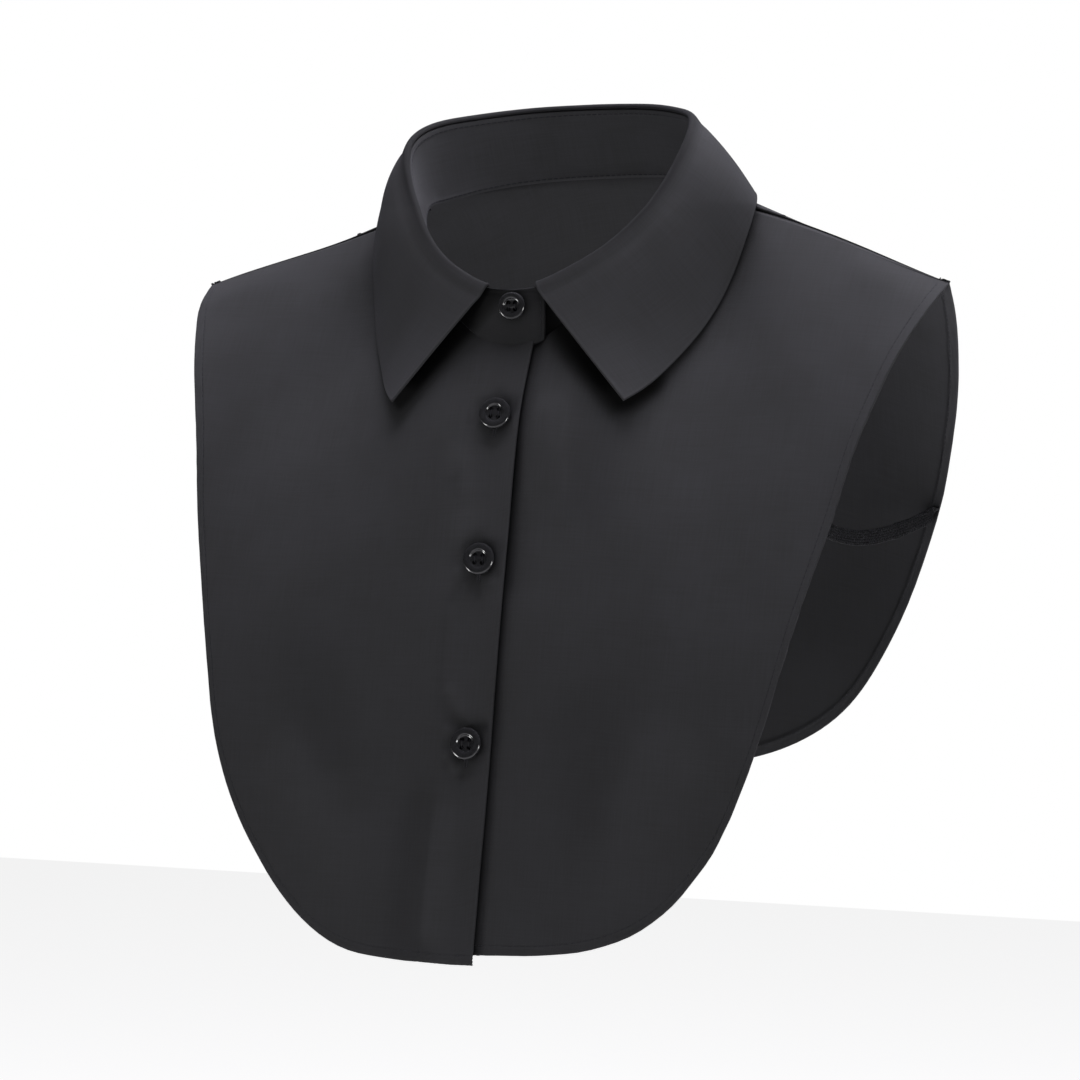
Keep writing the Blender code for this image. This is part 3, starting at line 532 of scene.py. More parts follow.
def cloth_material(name, colour, sheen, pitch):
    """Plain-weave shirting: crossing threads, uneven yarns and faint mottling of the dye."""
    mat, tree, shader = new_material(name, colour, 0.82, sheen, 0.18)
    grain = add_node(tree, "UVMap", uv_map="grain")
    yarns, threads = [], []
    for axis, squeeze in (("X", (1.0, 0.03, 1.0)), ("Y", (0.03, 1.0, 1.0))):
        drawn = add_node(tree, "Mapping", {"Vector": (grain, 0), "Scale": squeeze})
        yarns.append(add_node(tree, "TexNoise",
                              {"Vector": (drawn, 0), "Scale": 0.4 / pitch, "Detail": 2.0}))
        wave = add_node(tree, "TexWave",
                        {"Vector": (grain, 0), "Scale": 0.31 / pitch, "Distortion": 0.6, "Detail": 1.0},
                        wave_type="BANDS", bands_direction=axis)
        threads.append(add_math(tree, "MULTIPLY_ADD", (yarns[-1], "Fac"), 0.5, (wave, "Fac")))
    height = add_math(tree, "ADD", *[(one, 0) for one in threads])
    tone = add_math(tree, "MULTIPLY", (add_math(tree, "ADD", *[(one, "Fac") for one in yarns]), 0), 0.5)
    place = add_node(tree, "TexCoord")
    cloud = add_node(tree, "TexNoise",
                     {"Vector": (place, "Object"), "Scale": 34.0, "Detail": 3.0, "Roughness": 0.55})
    mixed = add_math(tree, "MULTIPLY_ADD", (cloud, "Fac"), 0.6, (tone, 0))
    dye = add_tones(tree, (mixed, 0), colour, 0.88, (1.14, 1.14, 1.2), 0.45)
    rough = add_node(tree, "MapRange", {"Value": (tone, 0), "To Min": 0.74, "To Max": 0.92})
    raised = add_node(tree, "Bump", {"Height": (height, 0), "Strength": 0.35, "Distance": 0.06 * MM})
    # the base colour carries painted shade: darker where layers lie close, and by the mesh's shade
    # attribute
    feed(shader, {"Base Color": paint_close_shade(tree, dye), "Roughness": (rough, "Result"),
                  "Normal": (raised, 0)})
    return mat


def elastic_material(colour):
    """Braided elastic: matt ribs with a fine cross weave."""
    mat, tree, shader = new_material("elastic_braid", colour, 0.6, 0.0, 0.12)
    grain = add_node(tree, "UVMap", uv_map="grain")
    turn = add_node(tree, "Mapping", {"Vector": (grain, 0), "Rotation": (0.0, 0.0, 0.7)})
    braid = add_node(tree, "TexWave",
                     {"Vector": (turn, 0), "Scale": 620.0, "Distortion": 2.0, "Detail": 2.0})
    speck = add_node(tree, "TexNoise", {"Vector": (grain, 0), "Scale": 1300.0, "Detail": 0.0})
    mixed = add_math(tree, "MULTIPLY", (braid, "Fac"), (speck, "Fac"))
    raised = add_node(tree, "Bump", {"Height": (mixed, 0), "Strength": 0.8, "Distance": 0.2 * MM})
    # the light specks in the braid's colour are partly its lighter threads and partly painted glints
    feed(shader, {"Base Color": add_tones(tree, (mixed, 0), colour, 0.5, 13.0, 0.3, 0.75),
                  "Normal": (raised, 0)})
    return mat


def noisy_material(name, colour, shine, noise, shares, rough=None):
    """A material whose colour, and roughness where a range is given, waver with a fine noise."""
    mat, tree, shader = new_material(name, colour, *shine)
    place = add_node(tree, "TexCoord")
    waver = add_node(tree, "TexNoise", {"Vector": (place, "Object"), **noise}), "Fac"
    feed(shader, {"Base Color": add_tones(tree, waver, colour, *shares)})
    if rough:
        between = add_node(tree, "MapRange", {"Value": waver, "To Min": rough[0], "To Max": rough[1]})
        feed(shader, {"Roughness": (between, "Result")})
    return mat


def resin_material(colour):
    """Polished black resin with faint swirls."""
    return noisy_material("button_resin", colour, (0.16, 0.0, 0.5, 0.35),
                          {"Scale": 420.0, "Detail": 3.0, "Distortion": 1.5}, (0.7, 2.0), (0.1, 0.2))


def thread_material(colour):
    """Matt sewing thread with a fine twist."""
    return noisy_material("sewing_thread", colour, (0.7, 0.15, 0.25), {"Scale": 2600.0, "Detail": 1.0},
                          (0.6, 1.6))


def shared(name, maker):
    """A material that is made once and then found by its name."""
    return bpy.data.materials.get(name) or maker()


# ---- creases of the fronts, in a front's own view: across is positive away from the lap ----
# (across, up) to (across, up), width, height out of the cloth
RIGHT_CREASES = (
    (19.0, -235.0, 21.0, -300.0, 6.5, -1.5),
    (9.0, -238.0, 10.0, -290.0, 6.0, 0.8),
    (16.5, -95.0, 9.0, -133.0, 6.0, 0.55),
    (14.0, -198.0, 7.5, -209.0, 3.4, -0.35),
    (12.0, -193.0, 4.0, -203.0, 3.2, 0.3),
    (0.4, -150.5, 0.9, -159.0, 1.2, -0.3),
    (0.8, -223.5, 1.6, -230.0, 1.3, -0.3),
    (9.5, -147.0, 3.5, -151.0, 2.2, -0.3),
    (11.0, -221.0, 4.0, -226.0, 2.6, 0.3),
    (-9.0, -150.0, -3.0, -147.0, 2.0, -0.22),
    (-8.0, -209.0, -3.0, -212.0, 2.0, -0.22),
    (70.0, -60.0, 105.0, -95.0, 16.0, 0.5),
    (95.0, -215.0, 60.0, -262.0, 15.0, 0.45),
    (60.0, -235.0, 78.0, -190.0, 14.0, -0.4),
    (14.0, -89.0, 7.0, -87.0, 2.4, -0.3),
    (9.5, -137.5, 5.0, -140.0, 2.0, -0.38),
    (12.5, -150.0, 6.0, -148.0, 2.2, 0.36),
    (14.0, -162.0, 7.5, -152.0, 2.4, -0.34),
    (9.0, -155.5, 4.5, -151.5, 1.8, 0.32),
    (-6.0, -153.5, -2.5, -149.5, 1.8, 0.3),
    (9.5, -205.0, 3.0, -211.0, 2.0, -0.42),
    (12.0, -211.0, 6.0, -213.5, 2.0, 0.34),
    (11.0, -226.5, 5.5, -222.5, 2.0, -0.36),
    (6.5, -229.0, 3.0, -225.5, 1.7, 0.34),
    (17.0, -108.0, 12.0, -122.0, 5.0, -0.45),
    (15.0, -160.0, 14.0, -196.0, 2.2, -0.16),
)
LEFT_CREASES = (
    (6.0, -92.0, 12.0, -150.0, 7.0, -0.6),
    (21.0, -78.0, 24.0, -112.0, 7.0, 0.9),
    (36.0, -75.0, 44.0, -120.0, 9.0, -0.5),
    (80.0, -60.0, 108.0, -110.0, 17.0, 0.5),
    (92.0, -205.0, 62.0, -262.0, 16.0, 0.5),
    (48.0, -190.0, 58.0, -262.0, 14.0, -0.4),
)
# long soft folds of the back: (across, up) to (across, up), width, height
BACK_CREASES = (
    (-46.0, -40.0, -70.0, -150.0, 16.0, 1.1),
    (38.0, -30.0, 74.0, -165.0, 18.0, 1.0),
    (-10.0, -70.0, 6.0, -215.0, 15.0, -0.8),
    (96.0, -80.0, 84.0, -190.0, 13.0, -0.9),
    (-100.0, -95.0, -88.0, -185.0, 13.0, -0.8),
    (20.0, -120.0, 30.0, -225.0, 12.0, 0.6),
)


def creased(x, z, table):
    """Sum of the soft ridges and troughs at points of the front view."""
    total = np.zeros(np.shape(x))
    for x0, z0, x1, z1, width, high in table:
        dx, dz = x1 - x0, z1 - z0
        t = np.clip(((x - x0) * dx + (z - z0) * dz) / (dx * dx + dz * dz), 0.0, 1.0)
        total += high * ease(0.2 + 3 * t) * hump(np.hypot(x - x0 - dx * t, z - z0 - dz * t), width)
    return total


def button_pull(x, z):
    """The cloth sinks under each sewn button and puckers round it."""
    total = np.zeros(np.shape(x))
    for number, across, height, _, _ in BUTTONS[1:]:
        d = np.hypot(x + across, z - height)
        angle = np.arctan2(z - height, x + across)
        spokes = 0.6 * np.cos(5 * angle + number) + 0.4 * np.cos(3 * angle - 2.3 * number)
        total += PULL_HIGH * spokes * hump(d - PULL_RING, PULL_WIDE) - SINK * hump(d, SINK_WIDE)
    return total


def hem_relief(d, s, seed):
    """Height of a narrow turned hem's face: its ply, the sunk stitch line and its slight roping."""
    ply = HEM_RISE * (1 - ease((d - HEM_PLY + 0.3) / 0.7))
    roping = wander(s + 0.8 * d, ROPING[0], 7.0, seed)
    roping = roping + wander(s + 1.3 * d, ROPING[1], 2.9, seed + 1.0)
    return ply + roping * hump(d - 2.2, 2.4) + groove(d, STITCH_SINK, HEM_LINE, 0.42)


def hem_light_shade(d, s, seed):
    """Painted light and shade of a turned hem: a little lighter on its ply and a painted shadow line
    where the ply ends, both uneven along it.
    """
    rough = 0.5 + wander(s + 0.7 * d, 0.5, 3.7, seed) + wander(s - 0.5 * d, 0.35, 1.9, seed + 2.0)
    return (0.3 * hump(d - HEM_PLY - 0.5, 0.9) - 0.2 * hump(d - 2.3, 2.3)) * rough


def under_fall(x, z, side):
    """Share of shade beside and under the fall's slanting edge, in the piece's own front view."""
    top, tip = np.array(SHADE_TOP), np.array(SHADE_TIP)
    along, long = unit(tip - top), np.linalg.norm(tip - top)
    at = (x - top[0]) * along[0] + (z - top[1]) * along[1]
    share = np.clip(at / long, 0.0, 1.0)
    off = (x - top[0]) * along[1] - (z - top[1]) * along[0]
    first, last = SHADE_REACH[side]
    reach = first + (last - first) * share
    beside = np.where(off > 0, off / reach, np.minimum(off + SHADE_BACK, 0.0) / SHADE_BACK)
    return 1 - ease((np.hypot(beside, (at - share * long) / reach) - SHADE_FULL) / SHADE_FADE)


def grain_map(p, start):
    """Grain map of a panel: across, and length along the cloth, which starts at start on each ray."""
    step = np.hypot(np.diff(p[..., 1], axis=1), np.diff(p[..., 2], axis=1))
    down = np.concatenate([np.zeros((len(p), 1)), np.cumsum(step, axis=1)], 1)
    return np.stack([p[..., 0], start[:, None] - down], -1)


def neck_rise(n):
    """Length along the grain from a panel's first ray to each next one, up its neck edge."""
    return np.concatenate([[0.0], np.cumsum(np.hypot(np.diff(n[:, 1]), np.diff(n[:, 2])))])


def along_rays(n, o, rows):
    """Distances from the neck and from the hem, and shares of the way, on rays from n to o."""
    long = np.linalg.norm(o - n, axis=1)
    from_neck = np.stack([fill_steps(0.0, s, NECK_STEPS, rows, EDGE_STEPS) for s in long])
    return from_neck, long[:, None] - from_neck, (from_neck / long[:, None])[..., None]


def seam_distance(p):
    """Distance from the shoulder seam."""
    return abs(p[..., 1] - RIDGE_Y) + 0.5 * abs(p[..., 2] - ridge_height(p[..., 0]))


def meet_seam(p, n, r, ray, limit):
    """Puts a panel's last or first ray on the shoulder seam."""
    p[ray, :, 1] = limit
    lift = n[ray, 2] - ridge_height(n[ray, 0])
    p[ray, :, 2] = ridge_height(p[ray, :, 0]) + lift * (1 - r[ray, :, 0]) ** EDGE_HOLD


def crease_share(from_hem, from_neck, from_seam, calm):
    """How much of a crease is left near a panel's edges."""
    return ease(from_hem / calm[0]) * ease(from_neck / calm[0]) * ease(from_seam / calm[1])


def turned_wall(d, reach, wall, hem_wall):
    """Thickness that falls from a turned edge's to one layer's at the turning's width."""
    return wall + (hem_wall - wall) * (1 - ease((d - reach) / 0.8))


def two_faces(p, out, full, thin):
    """Outer and inner face of a wall whose edges thin down evenly on both sides."""
    outer = p - out * ((full - thin) / 2)[..., None]
    return outer, outer - out * thin[..., None]


def front_sheet(side, wall, hem_wall):
    """Outer face, inner face, outward directions, grain map and shade of one front in its own view."""
    neck, edge = Path(NECK_SEAM), Path(FRONT_EDGE)
    bend = FACING - OVERLAP
    near = np.concatenate([np.array(RIM_STEPS[:-1]) - OVERLAP, np.arange(3.2 - OVERLAP, bend, 1.0)])
    even = np.concatenate([np.linspace(0.0, 1.0, FRONT_RAYS)[:-1], [0.994, 0.998, 0.9994, 1.0]])
    top = np.concatenate([near, bend + even * (neck.long * SHOULDER_AT - bend)])
    low = np.concatenate([near, bend + (1 - (1 - even) ** RAY_CROWD) * (edge.long - bend)])
    n, o = neck.read(top), edge.read(low)
    more = (0.0 if side > 0 else RIGHT_LONGER) * (1 - ease((o[:, 0] - LONGER_FROM) / LONGER_OVER))
    o[:, 1] -= more * LONGER_FORWARD
    o[:, 2] -= more
    from_neck, from_hem, r = along_rays(n, o, FRONT_ROWS)
    p = n[:, None] * (1 - r) + o[:, None] * r
    y = front_y(p[..., 0], p[..., 2])
    start, stop, down = n[:, 1] - y[:, 0], o[:, 1] - y[:, -1], r[..., 0]
    p[..., 1] = y + start[:, None] * (1 - down) ** EDGE_HOLD + stop[:, None] * down ** EDGE_HOLD
    limit = RIDGE_Y - SEAM_AIR
    p[..., 1] = np.minimum(p[..., 1], limit)
    meet_seam(p, n, r, -1, limit)
    uv = grain_map(p, neck_rise(n))
    from_lap = np.broadcast_to((low + OVERLAP)[:, None], from_hem.shape)
    from_seam = seam_distance(p)
    out = front_normals(p)
    x, z = p[..., 0], p[..., 2]
    creases = creased(x, z, LEFT_CREASES if side > 0 else RIGHT_CREASES)
    relief = creases * crease_share(from_hem, from_neck, from_seam, CALM_FRONT)
    if side < 0:
        relief += button_pull(x, z) * ease((from_lap - 0.2) / 3.0)
        relief += FACING_RISE * (1 - ease((from_lap - FACING) / 1.4)) + groove(from_lap, *FACING_GROOVE)
        relief += wander(z, *LAP_WAVE) * hump(from_lap, 5.0)
    along = np.broadcast_to(low[:, None], from_hem.shape)
    relief += hem_relief(from_hem, along, 0.7 + side) * ease(from_seam / SEAM_CALM)
    if side > 0:
        relief -= UNDER_DIP * (1 - ease((x - OVERLAP - 1.0) / UNDER_EASE))
    throat, first, over, across, narrowing = THROAT_SHADE
    throat = throat * ease((z - first) / over) * ease((across - abs(x)) / narrowing)
    shade = np.maximum(under_fall(x, z, side), throat)
    shade += LOW_SHADE[0] * ease((LOW_SHADE[1] - z) / LOW_SHADE[2])
    # painted light on the creases' ridges and painted shade in their troughs
    shade -= CREASE_LIGHT_SHADE * np.tanh(creases / CREASE_FULL)
    if side > 0:
        strength, past, half = PLACKET_SHADE
        shade = np.maximum(shade, strength * hump(x - OVERLAP - past, half))
    p = p + out * relief[..., None]
    p[..., 1] = np.minimum(p[..., 1], limit)
    out = front_normals(p)
    full = np.maximum(turned_wall(from_hem, HEM_PLY, wall, hem_wall),
                      turned_wall(from_lap, FACING, wall, hem_wall))
    thin = np.minimum(np.minimum(rounding(from_hem), rounding(from_lap)), rounding(from_seam, 0.3))
    outer, inner = two_faces(p, out, full, full * thin)
    inner[..., 1] = np.minimum(inner[..., 1], limit)
    return outer, inner, out, uv, shade


def front_normals(p):
    """Outward directions of a front, which turn flat toward its shoulder seam."""
    n = grid_normals(p)
    n = np.where(n[..., 1:2] > 0, -n, n)
    n[-1] *= np.where(n[-1, :, 2:3] < 0, -1.0, 1.0)
    n[..., 1] *= ease((RIDGE_Y - p[..., 1]) / SEAM_TURN)
    return unit(n)


def back_sheet(wall, hem_wall):
    """Outer face, inner face, outward directions, grain map and inner face's shade of the whole back."""
    neck, edge = Path(NECK_SEAM), Path(BACK_EDGE)
    f = np.concatenate([[0.0, 0.0006, 0.002, 0.005], np.linspace(0.0, 1.0, BACK_RAYS)[1:]])
    start = neck.long * SHOULDER_AT
    n = neck.read(start + f * (neck.long - start))
    f = f ** RAY_CROWD
    o = edge.read(f * edge.long)
    from_neck, from_hem, r = along_rays(n, o, BACK_ROWS)
    tilt = np.radians(BACK_LIFT) * (1 - f)
    way = np.stack([np.zeros_like(f), np.cos(tilt), np.sin(tilt)], -1)
    bulge = spline(*zip(*BACK_BULGE), f)
    p = n[:, None] * (1 - r) + o[:, None] * r
    p = p + way[:, None] * (bulge[:, None] * np.sin(math.pi * r[..., 0] ** BACK_SKEW))[..., None]
    p[..., 2] += ridge_bow(p[..., 0]) * ((1 - f) ** EDGE_HOLD)[:, None]
    limit = RIDGE_Y + SEAM_AIR
    p[..., 1] = np.maximum(p[..., 1], limit)
    meet_seam(p, n, r, 0, limit)
    p[-1, :, 0] = 0.0
    uv = mirrored(grain_map(p, -neck_rise(n)), MIRROR[:2])
    p, from_hem, from_neck = mirrored(p, MIRROR), mirrored(from_hem), mirrored(from_neck)
    along = np.concatenate([f * edge.long, (2 - f[:-1][::-1]) * edge.long])
    along = np.broadcast_to(along[:, None], from_hem.shape)
    from_seam = seam_distance(p)
    out = back_normals(p)
    relief = creased(p[..., 0], p[..., 2], BACK_CREASES)
    relief *= crease_share(from_hem, from_neck, from_seam, CALM_BACK)
    relief += hem_relief(from_hem, along, 2.9) * ease(from_seam / SEAM_CALM)
    p = p + out * relief[..., None]
    p[..., 1] = np.maximum(p[..., 1], limit)
    out = back_normals(p)
    full = turned_wall(from_hem, HEM_PLY, wall, hem_wall)
    thin = np.minimum(rounding(from_hem), rounding(from_seam, 0.3))
    outer, inner = two_faces(p, out, full, full * thin)
    inner[..., 1] = np.maximum(inner[..., 1], limit)
    strength, under, half = SEAM_SHADE
    shade = strength * hump(from_neck - under, half) * ease(from_seam / SEAM_SHADE_END)
    # painted light on the hem's ply and a painted shadow line where it ends
    shade += HEM_LIGHT_SHADE * hem_light_shade(from_hem, along, 2.9) * ease(from_seam / SEAM_CALM)
    shade += BACK_SHADE[0] * ease((BACK_SHADE[1] - p[..., 2]) / BACK_SHADE[2])
    return outer, inner, out, uv, shade


def back_normals(p):
    """Outward directions of the back, which turn flat toward its shoulder seams."""
    n = grid_normals(p)
    n = np.where((n[..., 1:2] + n[..., 2:3]) < 0, -n, n)
    n[..., 1] *= ease((p[..., 1] - RIDGE_Y) / SEAM_TURN)
    return unit(n)


def ring_frames(share):
    """Neck seam, stand top, ways up, out and square up at signed shares of the half ring."""
    seam, top = Path(NECK_SEAM), Path(STAND_TOP)
    low, high = seam.read(share * seam.long), top.read(share * top.long)
    step = 0.002
    ahead = top.read(np.clip(share + step, -1, 1) * top.long)
    behind = top.read(np.clip(share - step, -1, 1) * top.long)
    run, up = unit(ahead - behind), unit(high - low)
    out = unit(np.cross(run, up))
    away = out[:, :1] * high[:, :1] + out[:, 1:2] * high[:, 1:2]
    out = np.where(away < 0, -out, out)
    return low, high, up, out, square_to(run, up)


def stand_sheet(wall):
    """Faces, outward directions, grain map and shade of the stand; its right end laps over its left."""
    seam = Path(NECK_SEAM)
    total = 2 * seam.long
    s = fill_steps(-STAND_END, total + STAND_END, RIM_STEPS, 360, RIM_STEPS)
    wrapped = np.where(s > seam.long, s - total, s)
    low, high, up, out, _ = ring_frames(wrapped / seam.long)
    tuck = 1 - ease((s - STAND_END - TUCK_FROM) / STAND_TUCK)
    from_end = np.minimum(s + STAND_END, total + STAND_END - s)
    short = np.clip(STAND_CORNER - from_end, 0.0, STAND_CORNER)
    cut = STAND_CORNER - np.sqrt(np.maximum(STAND_CORNER ** 2 - short ** 2, 0.0))
    tall = np.linalg.norm(high - low, axis=1) - cut
    climb = np.stack([fill_steps(-STAND_LAP, t, RIM_STEPS, 22, RIM_STEPS) for t in tall])
    p = low[:, None] + up[:, None] * climb[..., None]
    p = p - out[:, None] * (tuck * (wall + GAP))[:, None, None]
    from_top, from_foot = tall[:, None] - climb, climb + STAND_LAP
    side = np.broadcast_to(from_end[:, None], climb.shape)
    rim = np.minimum(np.minimum(side, from_foot), from_top)
    relief = groove(rim, *STAND_GROOVE) + wander(s, *FOOT_WAVE)[:, None] * hump(from_foot - 3.0, 3.0)
    relief += wander(s, *STAND_WAVE)[:, None] * ease(rim / 8.0)
    proud = 1 - ease(from_foot / 7.0)
    p = p + out[:, None] * (relief + STAND_PROUD[0] * proud)[..., None]
    wall = wall + (STAND_PROUD[0] + STAND_PROUD[1]) * proud
    outer, inner = two_faces(p, out[:, None], wall, wall * rounding(rim))
    uv = np.stack([np.broadcast_to(s[:, None], climb.shape), climb], -1)
    x, z = p[..., 0], p[..., 2]
    tab = (s > seam.long)[:, None]
    beyond = np.maximum(under_fall(x, z, 1), 1 - ease((abs(x - STAND_END) - TAB_SHADE) / TAB_SHADE))
    shade = np.where(tab, under_fall(-x, z, -1) * (x < 0), beyond)
    return outer, inner, out, uv, np.maximum(shade, STAND_SHADE)


def smooth_section(line, head, body):
    """One smooth section through its knots: fine over the fold and at the free edge."""
    at = lengths(line)
    fold = at[len(FOLD) - 1]
    down = fill_steps(fold, at[-1], (0.0,), body, EDGE_STEPS)[1:]
    return spline(at, line, np.concatenate([np.linspace(0.0, fold, head), down]))


def fall_sheet(wall):
    """Faces, grain map and shade of the fall, from over the stand's top to its pointed lower edge."""
    top, edge = Path(STAND_TOP), Path(FALL_EDGE)
    half = top.long - FALL_START
    g = fill_steps(0.0, half, RIM_STEPS, 170) / half
    _, high, _, out, up = ring_frames((FALL_START + g * half) / top.long)
    swell = spline(*zip(*FALL_SWELL), g)[:, None]
    foot = high + out * HANG[0] + up * HANG[1]
    halves = []
    for table in (FALL_TRIM_LEFT, FALL_TRIM_RIGHT):
        table = np.array(table)
        low = edge.read(g * edge.long) + spline(table[:, 0], table[:, 1:], g)
        rows = [high + out * a + up * b for a, b in FOLD]
        for v in FALL_KNOTS:
            rows.append(foot * (1 - v) + low * v + out * (swell * math.sin(math.pi * v ** SWELL_SKEW)))
        p = np.stack([smooth_section(line, 22, 52) for line in np.stack(rows, 1)])
        p[-1, :, 0] = 0.0
        halves.append(p)
    p = np.concatenate([halves[0], halves[1][:-1][::-1] * MIRROR])
    step = np.linalg.norm(np.diff(p, axis=1), axis=2)
    climb = np.concatenate([np.zeros((len(p), 1)), np.cumsum(step, axis=1)], 1)
    from_low = climb[:, -1:] - climb
    along = np.broadcast_to((g * half)[:, None], (len(g), p.shape[1]))
    front = mirrored(along)
    uv = np.stack([np.concatenate([along, 2 * half - along[:-1][::-1]]), -climb], -1)
    n = grid_normals(p)
    outward = p[:, -12] * (1.0, 1.0, 0.0) + (0.0, 0.0, NECK_X)
    side = np.sum(n[:, -12] * outward, axis=1)
    n = np.where((side < 0)[:, None, None], -n, n)
    rim = np.minimum(front, from_low)
    relief = wander(uv[..., 0], *FALL_WAVE) * ease(rim / 14.0) * ease(climb / 10.0)
    middle = p + n * (relief + groove(rim, *FALL_GROOVE))[..., None]
    thin = (wall * rounding(np.minimum(rim, climb + 0.05)))[..., None] / 2
    crest = climb[:, FOLD_COLUMN:FOLD_COLUMN + 1]
    shade = FOLD_SHADE * hump(climb - crest, FOLD_REACH)
    return middle + n * thin, middle - n * thin, uv, shade


# ---- sizes and colours a maker would change ----
def length(name, description, default, low, high):
    """A length setting in metres."""
    return FloatProperty(name=name, description=description, default=default, min=low, max=high,
                         precision=5, unit="LENGTH")


def dye(name, description, default):
    """A colour setting."""
    return FloatVectorProperty(name=name, description=description, subtype="COLOR", default=default,
                               min=0.0, max=1.0)


class CollarSizes(bpy.types.PropertyGroup):
    """Sizes of cloth, thread and trim."""
    cloth_wall: length("Cloth", "Thickness of one layer as built", 0.0006, 0.0002, 0.001)
    hem_wall: length("Turned edge", "Thickness of a turned hem or facing", 0.0011, 0.0004, 0.0013)
    band_wall: length("Interlined cloth", "Thickness of the stand and the fall", 0.0013, 0.0005, 0.0014)
    thread_pitch: length("Weave", "Distance between threads of the cloth", 0.00027, 0.0001, 0.001)
    stitch_step: length("Stitch", "Length of one stitch with its gap", 0.0026, 0.001, 0.006)
    stitch_wide: length("Thread", "Width of a sewn thread", 0.0003, 0.0001, 0.001)
    elastic_wide: length("Elastic width", "Width of the side straps", 0.0062, 0.003, 0.012)
    elastic_thick: length("Elastic thickness", "Thickness of the side straps", 0.001, 0.0004, 0.0012)
    elastic_ribs: IntProperty(name="Elastic ribs", description="Ribs across a side strap", default=6,
                              min=2, max=12)
    button_high: length("Button height", "Thickness of a button at its rim", 0.0026, 0.0015, 0.004)
    hole_wide: length("Button hole", "Width of a thread hole", 0.0018, 0.001, 0.003)


class CollarColours(bpy.types.PropertyGroup):
    """Colours of cloth, trim and studio."""
    cloth: dye("Cloth", "Dye of the shirting", (0.05, 0.05, 0.051))
    sheen: FloatProperty(name="Sheen", description="Strength of the cloth's soft sheen", default=0.02,
                         min=0.0, max=1.0, subtype="FACTOR")
    elastic: dye("Elastic", "Colour of the side straps", (0.008, 0.008, 0.009))
    button: dye("Buttons", "Colour of the resin", (0.02, 0.02, 0.0215))
    thread: dye("Thread", "Colour of the sewing thread", (0.02, 0.02, 0.024))
    backdrop: dye("Backdrop", "Colour of floor and backdrop", (0.9, 0.9, 0.9))


def sizes():
    """The sizes in millimetres."""
    group = bpy.context.scene.collar_sizes
    return {k: getattr(group, k) / MM for k in CollarSizes.__annotations__ if k != "elastic_ribs"}


def colours():
    """The colour settings."""
    return bpy.context.scene.collar_colours


def cloth_look():
    """The one cloth of all panels."""
    c, name, pitch = colours(), "black_shirting", sizes()["thread_pitch"] * MM
    return shared(name, lambda: cloth_material(name, tuple(c.cloth), c.sheen, pitch))


def thread_look():
    """The one thread of all seams."""
    return shared("sewing_thread", lambda: thread_material(tuple(colours().thread)))


def sew(name, rows, step=None, wide=None):
    """A piece of stitches along the given lines, of the usual stitch or of another step and width."""
    m = sizes()
    step, wide, high = step or m["stitch_step"], wide or m["stitch_wide"], m["stitch_wide"] * 0.8
    verts, faces = stitch_mesh([spaced(p, n, step) for p, n in rows], (step * 0.82, wide, high))
    return new_piece(name, verts, faces, thread_look())


def hem_rows(outer, inner, out, seam):
    """Stitch lines along a panel's hem, sunk a little into its outer and inner face."""
    pick = seam, -1 - EDGE_STEPS.index(HEM_LINE)
    return [(outer[pick] - out[pick] * 0.02, out[pick]), (inner[pick] + out[pick] * 0.02, -out[pick])]


def on_cloth(face, outs, across, up):
    """Point of a built face and its outward direction at a place in the front view."""
    near = np.exp(-((face[..., 0] - across) ** 2 + (face[..., 2] - up) ** 2) / 0.8)[..., None]
    near = near / near.sum()
    return np.array([across, (face * near).sum((0, 1))[1], up]), unit((outs * near).sum((0, 1)))


def buttonhole_lines(face, outs):
    """Two close rows up each buttonhole of the front that laps over."""
    rows = []
    for _, across, height, _, _ in BUTTONS[1:]:
        for off in (-HOLE_SIDE, HOLE_SIDE):
            ups = np.arange(height - HOLE_DOWN, height + HOLE_UP, 0.8)
            pairs = [on_cloth(face, outs, across + off, up) for up in ups]
            rows.append(tuple(np.array(one) for one in zip(*pairs)))
    return rows


class COLLAR_OT_fronts(bpy.types.Operator):
    """Both fronts with their turned facings, hems and buttonholes"""
    bl_idname = "collar.fronts"
    bl_label = "Fronts"

    def execute(self, context):
        m = sizes()
        for name, side in (("right", -1.0), ("left", 1.0)):
            outer, inner, out, uv, shade = front_sheet(side, m["cloth_wall"], m["hem_wall"])
            flip = np.array([side, 1.0, 1.0])
            outer, inner, out = leaning(outer * flip), leaning(inner * flip), out * flip
            panel = shell_piece("front_%s_cloth" % name, outer, inner, uv * flip[:2], cloth_look(),
                                flip=side > 0, shade=shade)
            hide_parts("front_%s" % name)
            sewn = [sew("front_%s_hem_stitches" % name, hem_rows(outer, inner, out, slice(2, -3)))]
            if side < 0:
                sewn.append(sew("buttonholes", buttonhole_lines(outer, out), HOLE_STEP, HOLE_THREAD))
        return {"FINISHED"}


class COLLAR_OT_back(bpy.types.Operator):
    """The back panel with its hem"""
    bl_idname = "collar.back"
    bl_label = "Back"

    def execute(self, context):
        m = sizes()
        outer, inner, out, uv, shade = back_sheet(m["cloth_wall"], m["hem_wall"])
        outer, inner = leaning(outer), leaning(inner)
        panel = shell_piece("back_cloth", outer, inner, uv, cloth_look(), flip=True, inner_shade=shade)
        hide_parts("back")
        sewn = sew("back_hem_stitches", hem_rows(outer, inner, out, slice(3, -3)))
        return {"FINISHED"}


